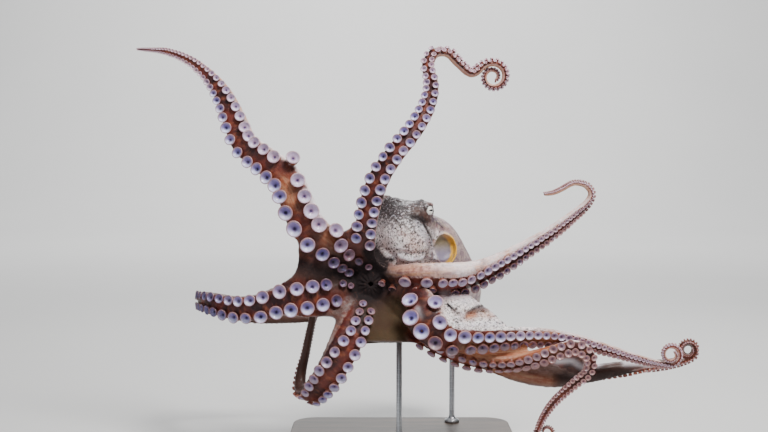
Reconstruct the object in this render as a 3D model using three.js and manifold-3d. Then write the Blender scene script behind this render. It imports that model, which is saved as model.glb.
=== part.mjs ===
// A common octopus, life size, swimming with its arms spread, on a plain display stand.
// Millimetres, +Z up. The animal's oral side looks along -Y and its left side is at +X.
// The origin is the centre of the underside of the stand's base.

import * as THREE from 'three';
import { mergeVertices } from 'three/addons/utils/BufferGeometryUtils.js';
import Module from 'manifold-3d';

const wasm = await Module();
wasm.setup();

// ---- Driving dimensions --------------------------------------------------

const GAP = 0.3; // clearance left between touching pieces
const CURL_STEP = 30; // degrees between the centreline points of a curled tip
const ARM_SIDES = 8; // sides of an arm's section
const TIP_SIDES = 6; // sides where the arm is narrower than TIP_WIDTH
const TIP_WIDTH = 22;
const RING_STEP = 0.8; // distance between an arm's sections, in arm widths
const RING_STEP_MIN = 4.6;
const FLESH_WIDTH = 0.8; // flesh across an arm, in arm widths
const BARE_WIDTH = 0.95; // the same where the suckers have no solids of their own
const FLESH_BACK = 0.42; // flesh behind the centreline
const FLESH_FRONT = 0.22; // flesh in front of it, up to the sucker-bearing face

const SUCKER_SIZE = 0.4; // sucker diameter, in arm widths
const SUCKER_MAX = 23;
const SUCKER_MIN = 14.5; // smaller suckers are part of the arm's section
const SUCKER_PITCH = 1.12; // distance between the suckers of one row, in diameters
const SUCKER_RISE = 0.34; // height of a sucker over the arm's face, in diameters
const SUCKER_SIDES = 5;

const MOUTH = {
  centre: [-42, -50, 236],
  size: [29, 16, 29],
  turns: 10,
  bands: 6,
  bumps: [[[0, -1, 0], -7, 0.5]],
};
const CROWN_REACH = 52; // the arms grow out of the crown this far from their roots

const WEB_THICKNESS = 3;
const WEB_ACROSS = 4;
const WEB_OUT = 3;

// the base of the arms, from behind the mouth up into the head
const ARM_BASE = {
  route: [[-42, -44, 238], [-20, -16, 260], [0, -4, 292]],
  radius: [[0, 27], [0.5, 29], [1, 32]],
  turns: 12,
  bands: 4,
};
// bumps: a direction from the centre, a height and a spread in radians
const HEAD = {
  centre: [4, -4, 302],
  size: [42, 48, 44],
  turns: 16,
  bands: 12,
  bumps: [
    [[27, -12, 32], 9, 0.42], // mound of the left eye
    [[-26, -2, 38], 8, 0.42], // mound of the right eye
    [[0.1, -0.75, -0.6], 8, 0.5], // fold over the arms' roots
    [[24, -16, 46], 4, 0.16], // horn over the left eye
  ],
};
const EYE_RADIUS = 10.5;
const EYES = {
  eye_left: [31, -18, 334],
  eye_right: [-24, -2, 342],
};

const MANTLE = {
  route: [[20, 8, 296], [40, 36, 268], [62, 66, 228], [78, 92, 178], [84, 104, 150]],
  radius: [[0, 34], [0.16, 45], [0.4, 55], [0.65, 53], [0.86, 36], [0.96, 18], [1, 0]],
  turns: 14,
  bands: 10,
};
const APERTURE = { centre: [57, -8, 281], size: [16, 20, 20], lip: 3.5, facing: [0.3, -0.93, 0.2] };
const FUNNEL = {
  route: [[20, 2, 262], [24, -8, 240], [30, -22, 222]],
  radius: [[0, 17], [0.5, 13], [1, 8.5]],
  bore: 5,
  overshoot: 1,
  turns: 8,
  bands: 3,
};

const BASE = { length: 320, width: 230, thickness: 14, corner: 34, bevel: 2 };
const ROD_RADIUS = 4;
const FOOT = { radius: 11, height: 9 };
const RODS = {
  front: { at: [-4, -34], top: 174 },
  back: { at: [76, 82], top: 200 },
};

// Each arm: its route from the root out, the way its suckers look at some of the route's
// points, its width over the suckers at fractions of its length, the curl of its tip and
// the fractions where it is divided.
const VIEWER = [0, -1, 0];
const ARMS = {
  arm_right_1: {
    route: [
      [-55, -58, 260], [-56, -74, 290], [-49, -86, 335], [-32, -94, 379], [-9, -94, 415],
      [14, -88, 443], [32, -80, 474], [39, -74, 503], [34, -68, 533], [44, -64, 549],
      [61, -62, 549], [76, -60, 535], [94, -56, 522], [110, -54, 533],
    ],
    facing: [
      [0, -0.1, -1, 0], [7, -0.1, -1, 0.1], [9, 0, -0.6, 0.8], [11, 0.6, -0.5, 0.6],
      [12, 0.2, -0.5, 0.85], [13, -0.3, -0.5, 0.8],
    ],
    width: [[0, 26], [0.06, 34], [0.2, 35], [0.37, 29], [0.45, 26], [0.52, 22], [0.58, 17.5],
      [0.65, 15], [0.72, 12], [0.8, 10], [0.9, 7.5], [1, 4]],
    curl: { axis: [0, 1, 0], turn: 560, from: 20, to: 5, rise: 6 },
    cuts: [0.36, 0.62, 0.78],
  },
  arm_right_2: {
    route: [
      [-69, -58, 258], [-95, -76, 284], [-123, -84, 311], [-140, -86, 345], [-154, -84, 378],
      [-183, -74, 403], [-212, -64, 426], [-226, -58, 456], [-238, -52, 483], [-257, -46, 512],
      [-288, -40, 539], [-324, -36, 553], [-364, -34, 556],
    ],
    facing: [[0, 0, -1, 0], [3, 0.04, -1, 0], [12, 0.02, -1, 0]],
    width: [[0, 30], [0.08, 48], [0.15, 57], [0.24, 55], [0.42, 45], [0.57, 40], [0.68, 30],
      [0.76, 20], [0.84, 13], [0.92, 8], [1, 3]],
    cuts: [0.4, 0.7],
  },
  arm_right_3: {
    route: [
      [-66, -58, 233], [-98, -72, 225], [-131, -82, 220], [-164, -86, 216], [-194, -82, 207],
      [-225, -68, 204], [-256, -46, 208], [-277, -14, 208], [-287, 35, 204], [-265, 80, 191],
      [-220, 100, 187], [-169, 100, 194],
    ],
    facing: [
      [0, 0, -1, 0.1], [5, 0, -1, 0], [6, -0.6, -0.75, 0], [8, -1, 0, 0],
      [9, -0.6, 0.7, 0], [11, 0, 1, 0],
    ],
    width: [[0, 28], [0.06, 40], [0.14, 47], [0.22, 46], [0.3, 42], [0.4, 38], [0.5, 30],
      [0.6, 24], [0.75, 17], [0.9, 9], [1, 3]],
    cuts: [0.34, 0.62],
  },
  arm_right_4: {
    route: [
      [-49, -58, 217], [-56, -76, 200], [-68, -90, 172], [-80, -94, 149], [-95, -88, 123],
      [-112, -74, 100], [-128, -58, 83], [-140, -40, 86], [-141, -28, 104], [-135, -22, 132],
      [-128, -22, 167], [-120, -24, 198], [-97, -20, 223],
    ],
    facing: [
      [0, 0, -1, 0.15], [4, 0, -1, 0.05], [5, -0.1, -0.95, -0.3], [6, -0.3, -0.5, -0.8], [7, -0.5, 0.3, -0.8],
      [8, -0.3, 0.95, 0], [12, 0.3, 0.9, 0.3],
    ],
    width: [[0, 26], [0.1, 34], [0.22, 40], [0.34, 38], [0.44, 32], [0.52, 24], [0.6, 17],
      [0.7, 14], [0.85, 12], [1, 5]],
    cuts: [0.36, 0.58],
  },
  arm_left_1: {
    route: [
      [-25, -56, 247], [13, -66, 250], [51, -66, 248], [89, -60, 250], [129, -54, 264],
      [168, -50, 283], [205, -47, 306], [235, -45, 329], [254, -45, 346], [259, -46, 358],
      [251, -48, 370], [233, -50, 373], [217, -53, 365], [205, -56, 360], [191, -58, 358],
    ],
    facing: [
      [0, 0, -0.8, -0.6], [6, 0.2, -0.6, -0.75], [8, 0.7, -0.5, -0.5], [9, 0.85, -0.5, 0],
      [10, 0.6, -0.5, 0.6], [11, 0, -0.5, 0.85], [14, -0.1, -0.4, 0.9],
    ],
    width: [[0, 28], [0.1, 38], [0.18, 41], [0.34, 37], [0.5, 25], [0.65, 18], [0.79, 13],
      [0.88, 8.5], [1, 4]],
    cuts: [0.38, 0.72],
  },
  arm_left_2: {
    route: [
      [-14, -64, 234], [10, -86, 229], [28, -102, 215], [33, -112, 194], [53, -114, 175],
      [81, -112, 162], [115, -106, 163], [149, -100, 167], [190, -94, 167], [238, -88, 160],
      [282, -84, 148], [329, -82, 134], [356, -82, 129],
    ],
    facing: [[0, 0, -1, 0.1], [7, 0, -1, 0.1], [10, 0, -0.95, -0.2], [12, 0, -0.8, -0.6]],
    width: [[0, 32], [0.06, 46], [0.12, 56], [0.21, 50], [0.32, 38], [0.45, 29], [0.56, 23],
      [0.64, 18], [0.76, 12], [0.82, 9.5], [1, 4]],
    curl: { axis: [0, -1, 0], turn: 540, from: 15, to: 4.5, rise: 9 },
    cuts: [0.3, 0.56, 0.8],
  },
  arm_left_3: {
    route: [
      [-25, -58, 217], [3, -66, 186], [34, -75, 162], [66, -82, 142], [103, -89, 130],
      [143, -98, 130], [176, -106, 140], [204, -114, 153], [227, -118, 159], [245, -116, 147],
      [245, -110, 127], [226, -104, 107], [206, -98, 87], [192, -94, 68], [182, -90, 45],
    ],
    facing: [[0, 0, -1, 0.1], [14, 0, -1, 0.1]],
    width: [[0, 26], [0.1, 34], [0.3, 33], [0.4, 28], [0.5, 24], [0.6, 21], [0.67, 16],
      [0.73, 13], [0.8, 11], [0.88, 8], [1, 3]],
    curl: { axis: [0, -1, 0], turn: 400, from: 13, to: 4, rise: -6 },
    cuts: [0.36, 0.58, 0.78],
  },
  arm_left_4: {
    route: [
      [-33, -54, 211], [-2, -40, 182], [38, -34, 158], [78, -34, 142], [122, -40, 126],
      [162, -48, 112], [205, -54, 106], [250, -56, 111], [297, -54, 118], [345, -50, 121],
      [380, -48, 126], [397, -46, 131],
    ],
    facing: [[0, 0, -0.9, -0.4], [5, 0, -0.6, -0.8], [11, 0.2, -0.5, -0.85]],
    width: [[0, 26], [0.1, 34], [0.2, 33], [0.35, 28], [0.5, 24], [0.65, 20], [0.75, 17],
      [0.85, 13.5], [0.92, 9], [1, 4]],
    curl: { axis: [0, -1, 0], turn: 480, from: 13, to: 4.5, rise: 8 },
    cuts: [0.36, 0.64, 0.84],
  },
};

// The web between neighbouring arms, round the mouth: how far out along each of the two arms
// it reaches, how deep its free edge sags back, and how far it billows towards the viewer.
const WEBS = [
  { between: ['arm_right_1', 'arm_right_2'], reach: [56, 70], sag: 0.45, billow: 6 },
  { between: ['arm_right_2', 'arm_right_3'], reach: [96, 124], sag: 0.34, billow: 22 },
  { between: ['arm_right_3', 'arm_right_4'], reach: [96, 176], sag: 0.52, billow: 16 },
  { between: ['arm_right_4', 'arm_left_4'], reach: [70, 72], sag: 0.02, billow: 14 },
  { between: ['arm_left_4', 'arm_left_3'], reach: [120, 120], sag: 0.2, billow: 0 },
  { between: ['arm_left_3', 'arm_left_2'], reach: [90, 90], sag: 0.3, billow: 8 },
  { between: ['arm_left_2', 'arm_left_1'], reach: [210, 110], sag: 0.06, billow: -2 },
  { between: ['arm_left_1', 'arm_right_1'], reach: [46, 46], sag: 0.5, billow: 16 },
];

const COLOURS = {
  flesh: { color: 0xb9756a, roughness: 0.42, metalness: 0 },
  skin: { color: 0xb9a9a4, roughness: 0.5, metalness: 0 },
  web: { color: 0x6f5138, roughness: 0.45, metalness: 0 },
  eye: { color: 0xe9e5da, roughness: 0.15, metalness: 0 },
  steel: { color: 0xb9bcc0, roughness: 0.3, metalness: 1 },
  plinth: { color: 0x23211f, roughness: 0.45, metalness: 0 },
};

// ---- Solids and booleans -------------------------------------------------

function solid(geometry) {
  geometry.deleteAttribute('normal');
  geometry.deleteAttribute('uv');
  const merged = mergeVertices(geometry, 1e-4);
  const places = merged.attributes.position.array;
  const corners = merged.index.array;
  const faces = [];
  for (let i = 0; i < corners.length; i += 3) {
    const [a, b, c] = corners.slice(i, i + 3);
    if (a !== b && b !== c && c !== a) faces.push(a, b, c);
  }
  return new wasm.Manifold(new wasm.Mesh({
    numProp: 3,
    vertProperties: new Float32Array(places),
    triVerts: new Uint32Array(faces),
  }));
}

function united(solids) {
  return solids.reduce((all, one) => all.add(one));
}

function without(body, ...cutters) {
  return cutters.reduce((left, cutter) => left.subtract(cutter), body);
}

// The largest of a cut body's pieces: a cut at a shallow angle can leave a sliver.
function largest(body) {
  const pieces = body.decompose();
  return pieces.reduce((most, one) => (one.volume() > most.volume() ? one : most));
}

function geometryOf(body) {
  const mesh = body.getMesh();
  const geometry = new THREE.BufferGeometry();
  const places = new Float32Array(mesh.vertProperties);
  geometry.setAttribute('position', new THREE.BufferAttribute(places, 3));
  geometry.setIndex(new THREE.BufferAttribute(new Uint32Array(mesh.triVerts), 1));
  return geometry;
}

const octopus = new THREE.Group();

function place(name, body, material) {
  const mesh = new THREE.Mesh(geometryOf(body), new THREE.MeshStandardMaterial(material));
  mesh.name = name;
  octopus.add(mesh);
}

// A closed body through rings of points, with a flat fan at each end. A ring whose points
// all fall together makes a pointed end.
function loft(rings) {
  const count = rings[0].length;
  const places = rings.flat().flatMap((p) => [p.x, p.y, p.z]);
  const faces = [];
  for (let ring = 0; ring + 1 < rings.length; ring += 1) {
    for (let i = 0; i < count; i += 1) {
      const a = ring * count + i;
      const b = ring * count + ((i + 1) % count);
      faces.push(a, b, b + count, a, b + count, a + count);
    }
  }
  const last = (rings.length - 1) * count;
  for (let i = 1; i + 1 < count; i += 1) {
    faces.push(0, i + 1, i, last, last + i, last + i + 1);
  }
  const geometry = new THREE.BufferGeometry();
  geometry.setAttribute('position', new THREE.Float32BufferAttribute(places, 3));
  geometry.setIndex(faces);
  return solid(geometry);
}

// ---- Curves --------------------------------------------------------------

// The value of a profile, given as [fraction, value] pairs, at a fraction.
function profile(pairs, fraction) {
  let k = 0;
  while (k + 2 < pairs.length && fraction > pairs[k + 1][0]) k += 1;
  const [from, low] = pairs[k];
  const [to, high] = pairs[k + 1];
  const part = THREE.MathUtils.clamp((fraction - from) / (to - from), 0, 1);
  return low + (high - low) * part;
}

// The direction at a place in a list of [place, x, y, z] keys.
function heading(keys, at) {
  let k = 0;
  while (k + 2 < keys.length && at > keys[k + 1][0]) k += 1;
  const next = keys[Math.min(k + 1, keys.length - 1)];
  const part = next === keys[k] ? 0
    : THREE.MathUtils.clamp((at - keys[k][0]) / (next[0] - keys[k][0]), 0, 1);
  const from = new THREE.Vector3(...keys[k].slice(1));
  return from.lerp(new THREE.Vector3(...next.slice(1)), part).normalize();
}

// An arm's centreline points, with the way its suckers look at each. A curled tip winds round
// its axis with a shrinking radius, its suckers on the outside of the curl.
function controlPoints({ route, facing, curl }) {
  const points = route.map((p) => new THREE.Vector3(...p));
  const looks = route.map((_, i) => heading(facing, i));
  if (!curl) return { points, looks };
  const axis = new THREE.Vector3(...curl.axis);
  const here = points.at(-1).clone();
  const way = here.clone().sub(points.at(-2));
  way.addScaledVector(axis, -way.dot(axis)).normalize();
  const half = THREE.MathUtils.degToRad(CURL_STEP / 2);
  for (let turned = 0; turned < curl.turn; turned += CURL_STEP) {
    const radius = THREE.MathUtils.lerp(curl.from, curl.to, turned / curl.turn);
    way.applyAxisAngle(axis, half);
    here.addScaledVector(way, 2 * radius * Math.sin(half));
    here.addScaledVector(axis, (curl.rise * CURL_STEP) / curl.turn);
    way.applyAxisAngle(axis, half);
    points.push(here.clone());
    const outward = way.clone().cross(axis);
    looks.push(outward.addScaledVector(new THREE.Vector3(...VIEWER), 0.6).normalize());
  }
  return { points, looks };
}

// An arm ready to be sampled by the distance from its root.
function measured(arm) {
  const { points, looks } = controlPoints(arm);
  const curve = new THREE.CatmullRomCurve3(points, false, 'centripetal');
  const steps = (points.length - 1) * 8;
  const table = [];
  let length = 0;
  for (let i = 0; i <= steps; i += 1) {
    const point = curve.getPoint(i / steps);
    if (i > 0) length += point.distanceTo(table[i - 1].point);
    const along = (i / steps) * (points.length - 1);
    const k = Math.min(Math.floor(along), points.length - 2);
    const look = looks[k].clone().lerp(looks[k + 1], along - k);
    table.push({ point, look, out: curve.getTangent(i / steps), length });
  }
  return { ...arm, table, length };
}

// The place, the way out along the arm, the way the suckers look and the width there.
function station(arm, distance) {
  const { table } = arm;
  let k = 1;
  while (k + 1 < table.length && table[k].length < distance) k += 1;
  const [from, to] = [table[k - 1], table[k]];
  const part = (distance - from.length) / (to.length - from.length);
  const centre = from.point.clone().lerp(to.point, part);
  const out = from.out.clone().lerp(to.out, part).normalize();
  const oral = from.look.clone().lerp(to.look, part);
  oral.addScaledVector(out, -oral.dot(out)).normalize();
  const side = oral.clone().cross(out);
  const width = profile(arm.width, distance / arm.length);
  return { centre, out, oral, side, width };
}

// ---- Arms ----------------------------------------------------------------

// An arm's section: round behind, flattened in front where the suckers sit. Its corners
// stand out a little, so that its flat sides lie on the true outline.
function armRing(arm, distance, sides, grow) {
  const { centre, oral, side, width } = station(arm, distance);
  const flesh = SUCKER_SIZE * width < SUCKER_MIN ? BARE_WIDTH : FLESH_WIDTH;
  const corner = 1 / Math.cos(Math.PI / sides);
  const ring = [];
  for (let i = 0; i < sides; i += 1) {
    const angle = (2 * Math.PI * (i + 0.5)) / sides;
    const [across, front] = [Math.cos(angle), Math.sin(angle)];
    const depth = front > 0 ? FLESH_FRONT * front ** 0.6 : FLESH_BACK * front;
    ring.push(centre.clone()
      .addScaledVector(side, across * ((flesh / 2) * corner * width + grow))
      .addScaledVector(oral, depth * corner * width + Math.sign(front) * grow));
  }
  return ring;
}

function armFlesh(arm, from, to, grow = 0) {
  const sides = station(arm, from).width < TIP_WIDTH ? TIP_SIDES : ARM_SIDES;
  const rings = [armRing(arm, from - grow, sides, grow)];
  let distance = from;
  while (true) {
    const step = Math.max(RING_STEP * station(arm, distance).width, RING_STEP_MIN);
    if (distance + 1.6 * step > to) break;
    distance += step;
    rings.push(armRing(arm, distance, sides, grow));
  }
  rings.push(armRing(arm, to + grow, sides, grow));
  return loft(rings);
}

// The suckers of an arm, in two rows that alternate, as distances, sides and diameters.
function suckerPlaces(arm) {
  const places = [];
  let distance = 12;
  let row = 1;
  while (distance < arm.length) {
    const { width } = station(arm, distance);
    const diameter = Math.min(SUCKER_SIZE * width, SUCKER_MAX);
    if (diameter > SUCKER_MIN) places.push({ distance, row, diameter });
    distance += (SUCKER_PITCH * diameter) / 2;
    row = -row;
  }
  return places;
}

// A sucker is a short cup on a narrower foot, sunk a little in the arm's face.
function suckerSolid(arm, { distance, row, diameter }, grow = 0) {
  const { centre, out, oral, side, width } = station(arm, distance);
  const face = FLESH_FRONT * width;
  const offset = (row * (width - diameter)) / 2;
  const levels = [
    [face - 0.3 * diameter, 0.3 * diameter + grow],
    [face + SUCKER_RISE * diameter + grow, 0.5 * diameter + grow],
  ];
  const rings = levels.map(([height, radius]) => {
    const ring = [];
    for (let i = 0; i < SUCKER_SIDES; i += 1) {
      const angle = (2 * Math.PI * i) / SUCKER_SIDES;
      ring.push(centre.clone()
        .addScaledVector(oral, height)
        .addScaledVector(out, radius * Math.cos(angle))
        .addScaledVector(side, offset + radius * Math.sin(angle)));
    }
    return ring;
  });
  return loft(rings);
}

// One length of an arm with the suckers that stand on it.
function armLength(arm, from, to, grow = 0) {
  const suckers = suckerPlaces(arm)
    .filter(({ distance, diameter }) => distance > from + 0.5 * diameter
      && distance < to - 0.5 * diameter)
    .map((place_) => suckerSolid(arm, place_, grow));
  return united([armFlesh(arm, from, to, grow), ...suckers]);
}

const LENGTH_NAMES = ['base', 'middle', 'outer', 'tip'];
const arms = Object.fromEntries(
  Object.entries(ARMS).map(([name, arm]) => [name, measured(arm)]),
);

function armLengths(arm, grow = 0) {
  const starts = [CROWN_REACH, ...arm.cuts.map((fraction) => fraction * arm.length)];
  return starts.map((start, i) => {
    const end = i + 1 < starts.length ? starts[i + 1] - GAP : arm.length;
    return armLength(arm, i === 0 ? start + GAP : start, end, grow);
  });
}

for (const [name, arm] of Object.entries(arms)) {
  armLengths(arm).forEach((body, i) => {
    place(`${name}_${LENGTH_NAMES[i]}`, body, COLOURS.flesh);
  });
}

// ---- Head and eyes -------------------------------------------------------

// An ellipsoid with bumps, each a direction, a height and a spread in radians.
function blob({ centre, size, turns, bands, bumps = [] }, grow = 0) {
  const geometry = new THREE.SphereGeometry(1, turns, bands);
  const places = geometry.attributes.position;
  const way = new THREE.Vector3();
  const half = new THREE.Vector3(...size);
  const lumps = bumps.map(([direction, height, spread]) => (
    { direction: new THREE.Vector3(...direction).normalize(), height, spread }));
  for (let i = 0; i < places.count; i += 1) {
    way.fromBufferAttribute(places, i).normalize();
    let radius = 1 / way.clone().divide(half).length() + grow;
    for (const { direction, height, spread } of lumps) {
      radius += height * Math.exp(-((way.angleTo(direction) / spread) ** 2));
    }
    way.multiplyScalar(radius);
    places.setXYZ(i, centre[0] + way.x, centre[1] + way.y, centre[2] + way.z);
  }
  return solid(geometry);
}

function eyeball(centre, grow = 0) {
  const radius = EYE_RADIUS + grow;
  return blob({ centre, size: [radius, radius, radius], turns: 9, bands: 7 });
}

const sockets = Object.values(EYES).map((centre) => eyeball(centre, GAP));
place('head', without(blob(HEAD), ...sockets), COLOURS.skin);
for (const [name, centre] of Object.entries(EYES)) {
  place(name, eyeball(centre), COLOURS.eye);
}

// ---- Mantle and funnel ---------------------------------------------------

// A round body along a route, its radius given by a profile over its length.
function sac({ route, radius, turns, bands }, grow = 0) {
  const points = route.map((p) => new THREE.Vector3(...p));
  const curve = new THREE.CatmullRomCurve3(points, false, 'centripetal');
  const across = new THREE.Vector3(1, 0, 0);
  const rings = [];
  for (let band = 0; band <= bands; band += 1) {
    // bands crowd together towards the end, where the radius changes most
    const fraction = Math.sin((Math.PI / 2) * (band / bands));
    const way = curve.getTangentAt(fraction);
    const side = across.clone().addScaledVector(way, -across.dot(way)).normalize();
    const up = way.clone().cross(side);
    const centre = curve.getPointAt(fraction);
    if (band === 0) centre.addScaledVector(way, -grow);
    if (band === bands) centre.addScaledVector(way, grow);
    const reach = profile(radius, fraction) + grow;
    const ring = [];
    for (let turn = 0; turn < turns; turn += 1) {
      const angle = (2 * Math.PI * turn) / turns;
      ring.push(centre.clone()
        .addScaledVector(side, reach * Math.cos(angle))
        .addScaledVector(up, reach * Math.sin(angle)));
    }
    rings.push(ring);
  }
  return loft(rings);
}

// The thick edge of the mantle's opening, a ring facing forwards beside the head.
function apertureLip({ centre, size, lip, facing }) {
  const geometry = new THREE.TorusGeometry(1, lip / size[0], 4, 14);
  geometry.scale(size[0], size[2], size[0]);
  const turn = new THREE.Quaternion()
    .setFromUnitVectors(new THREE.Vector3(0, 0, 1), new THREE.Vector3(...facing).normalize());
  geometry.applyQuaternion(turn);
  geometry.translate(...centre);
  return solid(geometry);
}

function mantle(grow = 0) {
  const wall = sac(MANTLE, grow).add(apertureLip(APERTURE));
  if (grow > 0) return wall;
  return wall.subtract(blob({ ...APERTURE, turns: 10, bands: 7 }));
}

place('mantle', largest(without(mantle(), blob(HEAD, GAP))), COLOURS.skin);

const nozzle = without(
  sac(FUNNEL),
  blob(HEAD, GAP),
  mantle(GAP),
  sac({ ...FUNNEL, radius: [[0, FUNNEL.bore], [1, FUNNEL.bore]] }, FUNNEL.overshoot),
);
place('funnel', largest(nozzle), COLOURS.skin);

// ---- Crown: mouth, arm roots and web --------------------------------------

// A thin sheet between two arms, from the mouth out to a free edge that sags between them.
function web({ between, reach, sag, billow }, grow) {
  const [first, second] = between.map((name) => arms[name]);
  const grid = [];
  for (let v = 0; v <= WEB_OUT; v += 1) {
    const row = [];
    for (let u = 0; u <= WEB_ACROSS; u += 1) {
      const part = u / WEB_ACROSS;
      const bow = 4 * part * (1 - part);
      const out = (v / WEB_OUT) * (1 - sag * bow);
      const from = station(first, out * reach[0]).centre;
      const to = station(second, out * reach[1]).centre;
      const billowed = new THREE.Vector3(...VIEWER).multiplyScalar(billow * bow * out);
      row.push(from.lerp(to, part).add(billowed));
    }
    grid.push(row);
  }
  return sheet(grid, WEB_THICKNESS + 2 * grow);
}

// A closed sheet of one thickness on a grid of points.
function sheet(grid, thickness) {
  const [rows, columns] = [grid.length, grid[0].length];
  const at = (v, u) => grid[Math.min(Math.max(v, 0), rows - 1)][
    Math.min(Math.max(u, 0), columns - 1)];
  const places = [];
  for (const offset of [thickness / 2, -thickness / 2]) {
    for (let v = 0; v < rows; v += 1) {
      for (let u = 0; u < columns; u += 1) {
        const alongU = at(v, u + 1).clone().sub(at(v, u - 1));
        const alongV = at(v + 1, u).clone().sub(at(v - 1, u));
        const normal = alongU.cross(alongV).normalize();
        const point = at(v, u).clone().addScaledVector(normal, offset);
        places.push(point.x, point.y, point.z);
      }
    }
  }
  const back = rows * columns;
  const faces = [];
  const quad = (a, b, c, d) => faces.push(a, b, c, a, c, d);
  for (let v = 0; v + 1 < rows; v += 1) {
    for (let u = 0; u + 1 < columns; u += 1) {
      const a = v * columns + u;
      quad(a, a + 1, a + columns + 1, a + columns);
      quad(back + a, back + a + columns, back + a + columns + 1, back + a + 1);
    }
  }
  const edge = [];
  for (let u = 0; u < columns - 1; u += 1) edge.push(u);
  for (let v = 0; v < rows - 1; v += 1) edge.push(v * columns + columns - 1);
  for (let u = columns - 1; u > 0; u -= 1) edge.push((rows - 1) * columns + u);
  for (let v = rows - 1; v > 0; v -= 1) edge.push(v * columns);
  edge.forEach((a, i) => {
    const b = edge[(i + 1) % edge.length];
    quad(a, back + a, back + b, b);
  });
  const geometry = new THREE.BufferGeometry();
  geometry.setAttribute('position', new THREE.Float32BufferAttribute(places, 3));
  geometry.setIndex(faces);
  return solid(geometry);
}

function mouthAndRoots(grow = 0) {
  const roots = Object.values(arms).map((arm) => armFlesh(arm, 0, CROWN_REACH, grow));
  const webs = WEBS.map((shape) => web(shape, grow));
  return united([blob(MOUTH, grow), sac(ARM_BASE, grow), ...roots, ...webs]);
}

const armsAround = Object.values(arms).flatMap((arm) => armLengths(arm, GAP));
const crown = without(
  mouthAndRoots(),
  ...armsAround,
  blob(HEAD, GAP),
  mantle(GAP),
  sac(FUNNEL, GAP),
);
place('arm_crown', largest(crown), COLOURS.web);

// ---- Display stand -------------------------------------------------------

function plinth({ length, width, thickness, corner, bevel }) {
  const [x, y] = [length / 2 - bevel - corner, width / 2 - bevel - corner];
  const outline = new THREE.Shape();
  outline.absarc(x, y, corner, 0, Math.PI / 2);
  outline.absarc(-x, y, corner, Math.PI / 2, Math.PI);
  outline.absarc(-x, -y, corner, Math.PI, 1.5 * Math.PI);
  outline.absarc(x, -y, corner, 1.5 * Math.PI, 2 * Math.PI);
  const geometry = new THREE.ExtrudeGeometry(outline, {
    depth: thickness - 2 * bevel,
    bevelThickness: bevel,
    bevelSize: bevel,
    bevelSegments: 1,
    curveSegments: 3,
  });
  geometry.translate(0, 0, bevel);
  return solid(geometry);
}

// A rod on a round foot, cut to fit the flesh that it holds up.
function rod({ at: [x, y], top }) {
  const bottom = BASE.thickness + GAP;
  const outline = [
    [0, bottom], [FOOT.radius, bottom], [FOOT.radius, bottom + FOOT.height / 3],
    [ROD_RADIUS, bottom + FOOT.height], [ROD_RADIUS, top], [0, top],
  ];
  const geometry = new THREE.LatheGeometry(outline.map((p) => new THREE.Vector2(...p)), 12);
  geometry.rotateX(Math.PI / 2);
  geometry.translate(x, y, 0);
  return solid(geometry);
}

place('stand_base', plinth(BASE), COLOURS.plinth);
const flesh = [mouthAndRoots(GAP), mantle(GAP), ...armsAround];
for (const [name, shape] of Object.entries(RODS)) {
  const held = largest(without(rod(shape), ...flesh));
  place(`stand_rod_${name}`, held, COLOURS.steel);
}

export default octopus;
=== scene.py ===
import math
import random

import bmesh
import bpy
import numpy as np
from mathutils import Matrix, Vector, kdtree, noise


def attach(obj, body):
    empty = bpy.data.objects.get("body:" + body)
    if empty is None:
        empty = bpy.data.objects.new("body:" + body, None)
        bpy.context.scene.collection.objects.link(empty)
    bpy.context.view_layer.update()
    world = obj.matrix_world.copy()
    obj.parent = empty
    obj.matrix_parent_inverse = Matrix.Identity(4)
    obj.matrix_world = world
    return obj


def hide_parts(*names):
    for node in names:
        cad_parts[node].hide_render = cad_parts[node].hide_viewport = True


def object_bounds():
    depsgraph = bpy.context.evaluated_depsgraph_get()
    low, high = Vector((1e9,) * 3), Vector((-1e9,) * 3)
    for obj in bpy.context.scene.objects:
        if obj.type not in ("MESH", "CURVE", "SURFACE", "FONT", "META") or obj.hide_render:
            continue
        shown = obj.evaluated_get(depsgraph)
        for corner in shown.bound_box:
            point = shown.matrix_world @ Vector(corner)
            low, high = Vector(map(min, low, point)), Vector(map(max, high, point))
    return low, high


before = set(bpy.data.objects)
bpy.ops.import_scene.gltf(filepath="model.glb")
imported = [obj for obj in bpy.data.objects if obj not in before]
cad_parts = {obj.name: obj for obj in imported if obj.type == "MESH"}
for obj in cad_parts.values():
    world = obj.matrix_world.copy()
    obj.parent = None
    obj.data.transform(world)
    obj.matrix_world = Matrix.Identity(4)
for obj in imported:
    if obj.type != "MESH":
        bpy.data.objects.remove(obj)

bl_info = {
    "name": "Common octopus on a stand",
    "version": (1, 0, 0),
    "blender": (4, 5, 0),
    "location": "View3D > Sidebar > Octopus",
    "description": "Builds a still, life-size common octopus with spread arms on its stand",
    "category": "Add Mesh",
}

CAD_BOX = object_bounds()
MM = 0.001
VIEWER = Vector((0, -1, 0))
UP = Vector((0, 0, 1))

# ---- Control tables, in millimetres, close to the solids' ------------------------------------

CURL_STEP = 30  # degrees between the centreline points of a curled tip
FLESH_WIDTH = 0.84  # flesh across an arm, in arm widths
FLESH_BACK = 0.42  # flesh behind its centreline
FLESH_FRONT = 0.21  # flesh in front of it, up to the face that carries the suckers
SUCKER_LARGEST = 23
SUCKER_RISE = 0.32  # how far a sucker's rim stands over that face, in diameters
BOX_MARGIN = 0.05  # how far everything stays inside the solids' box

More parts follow.
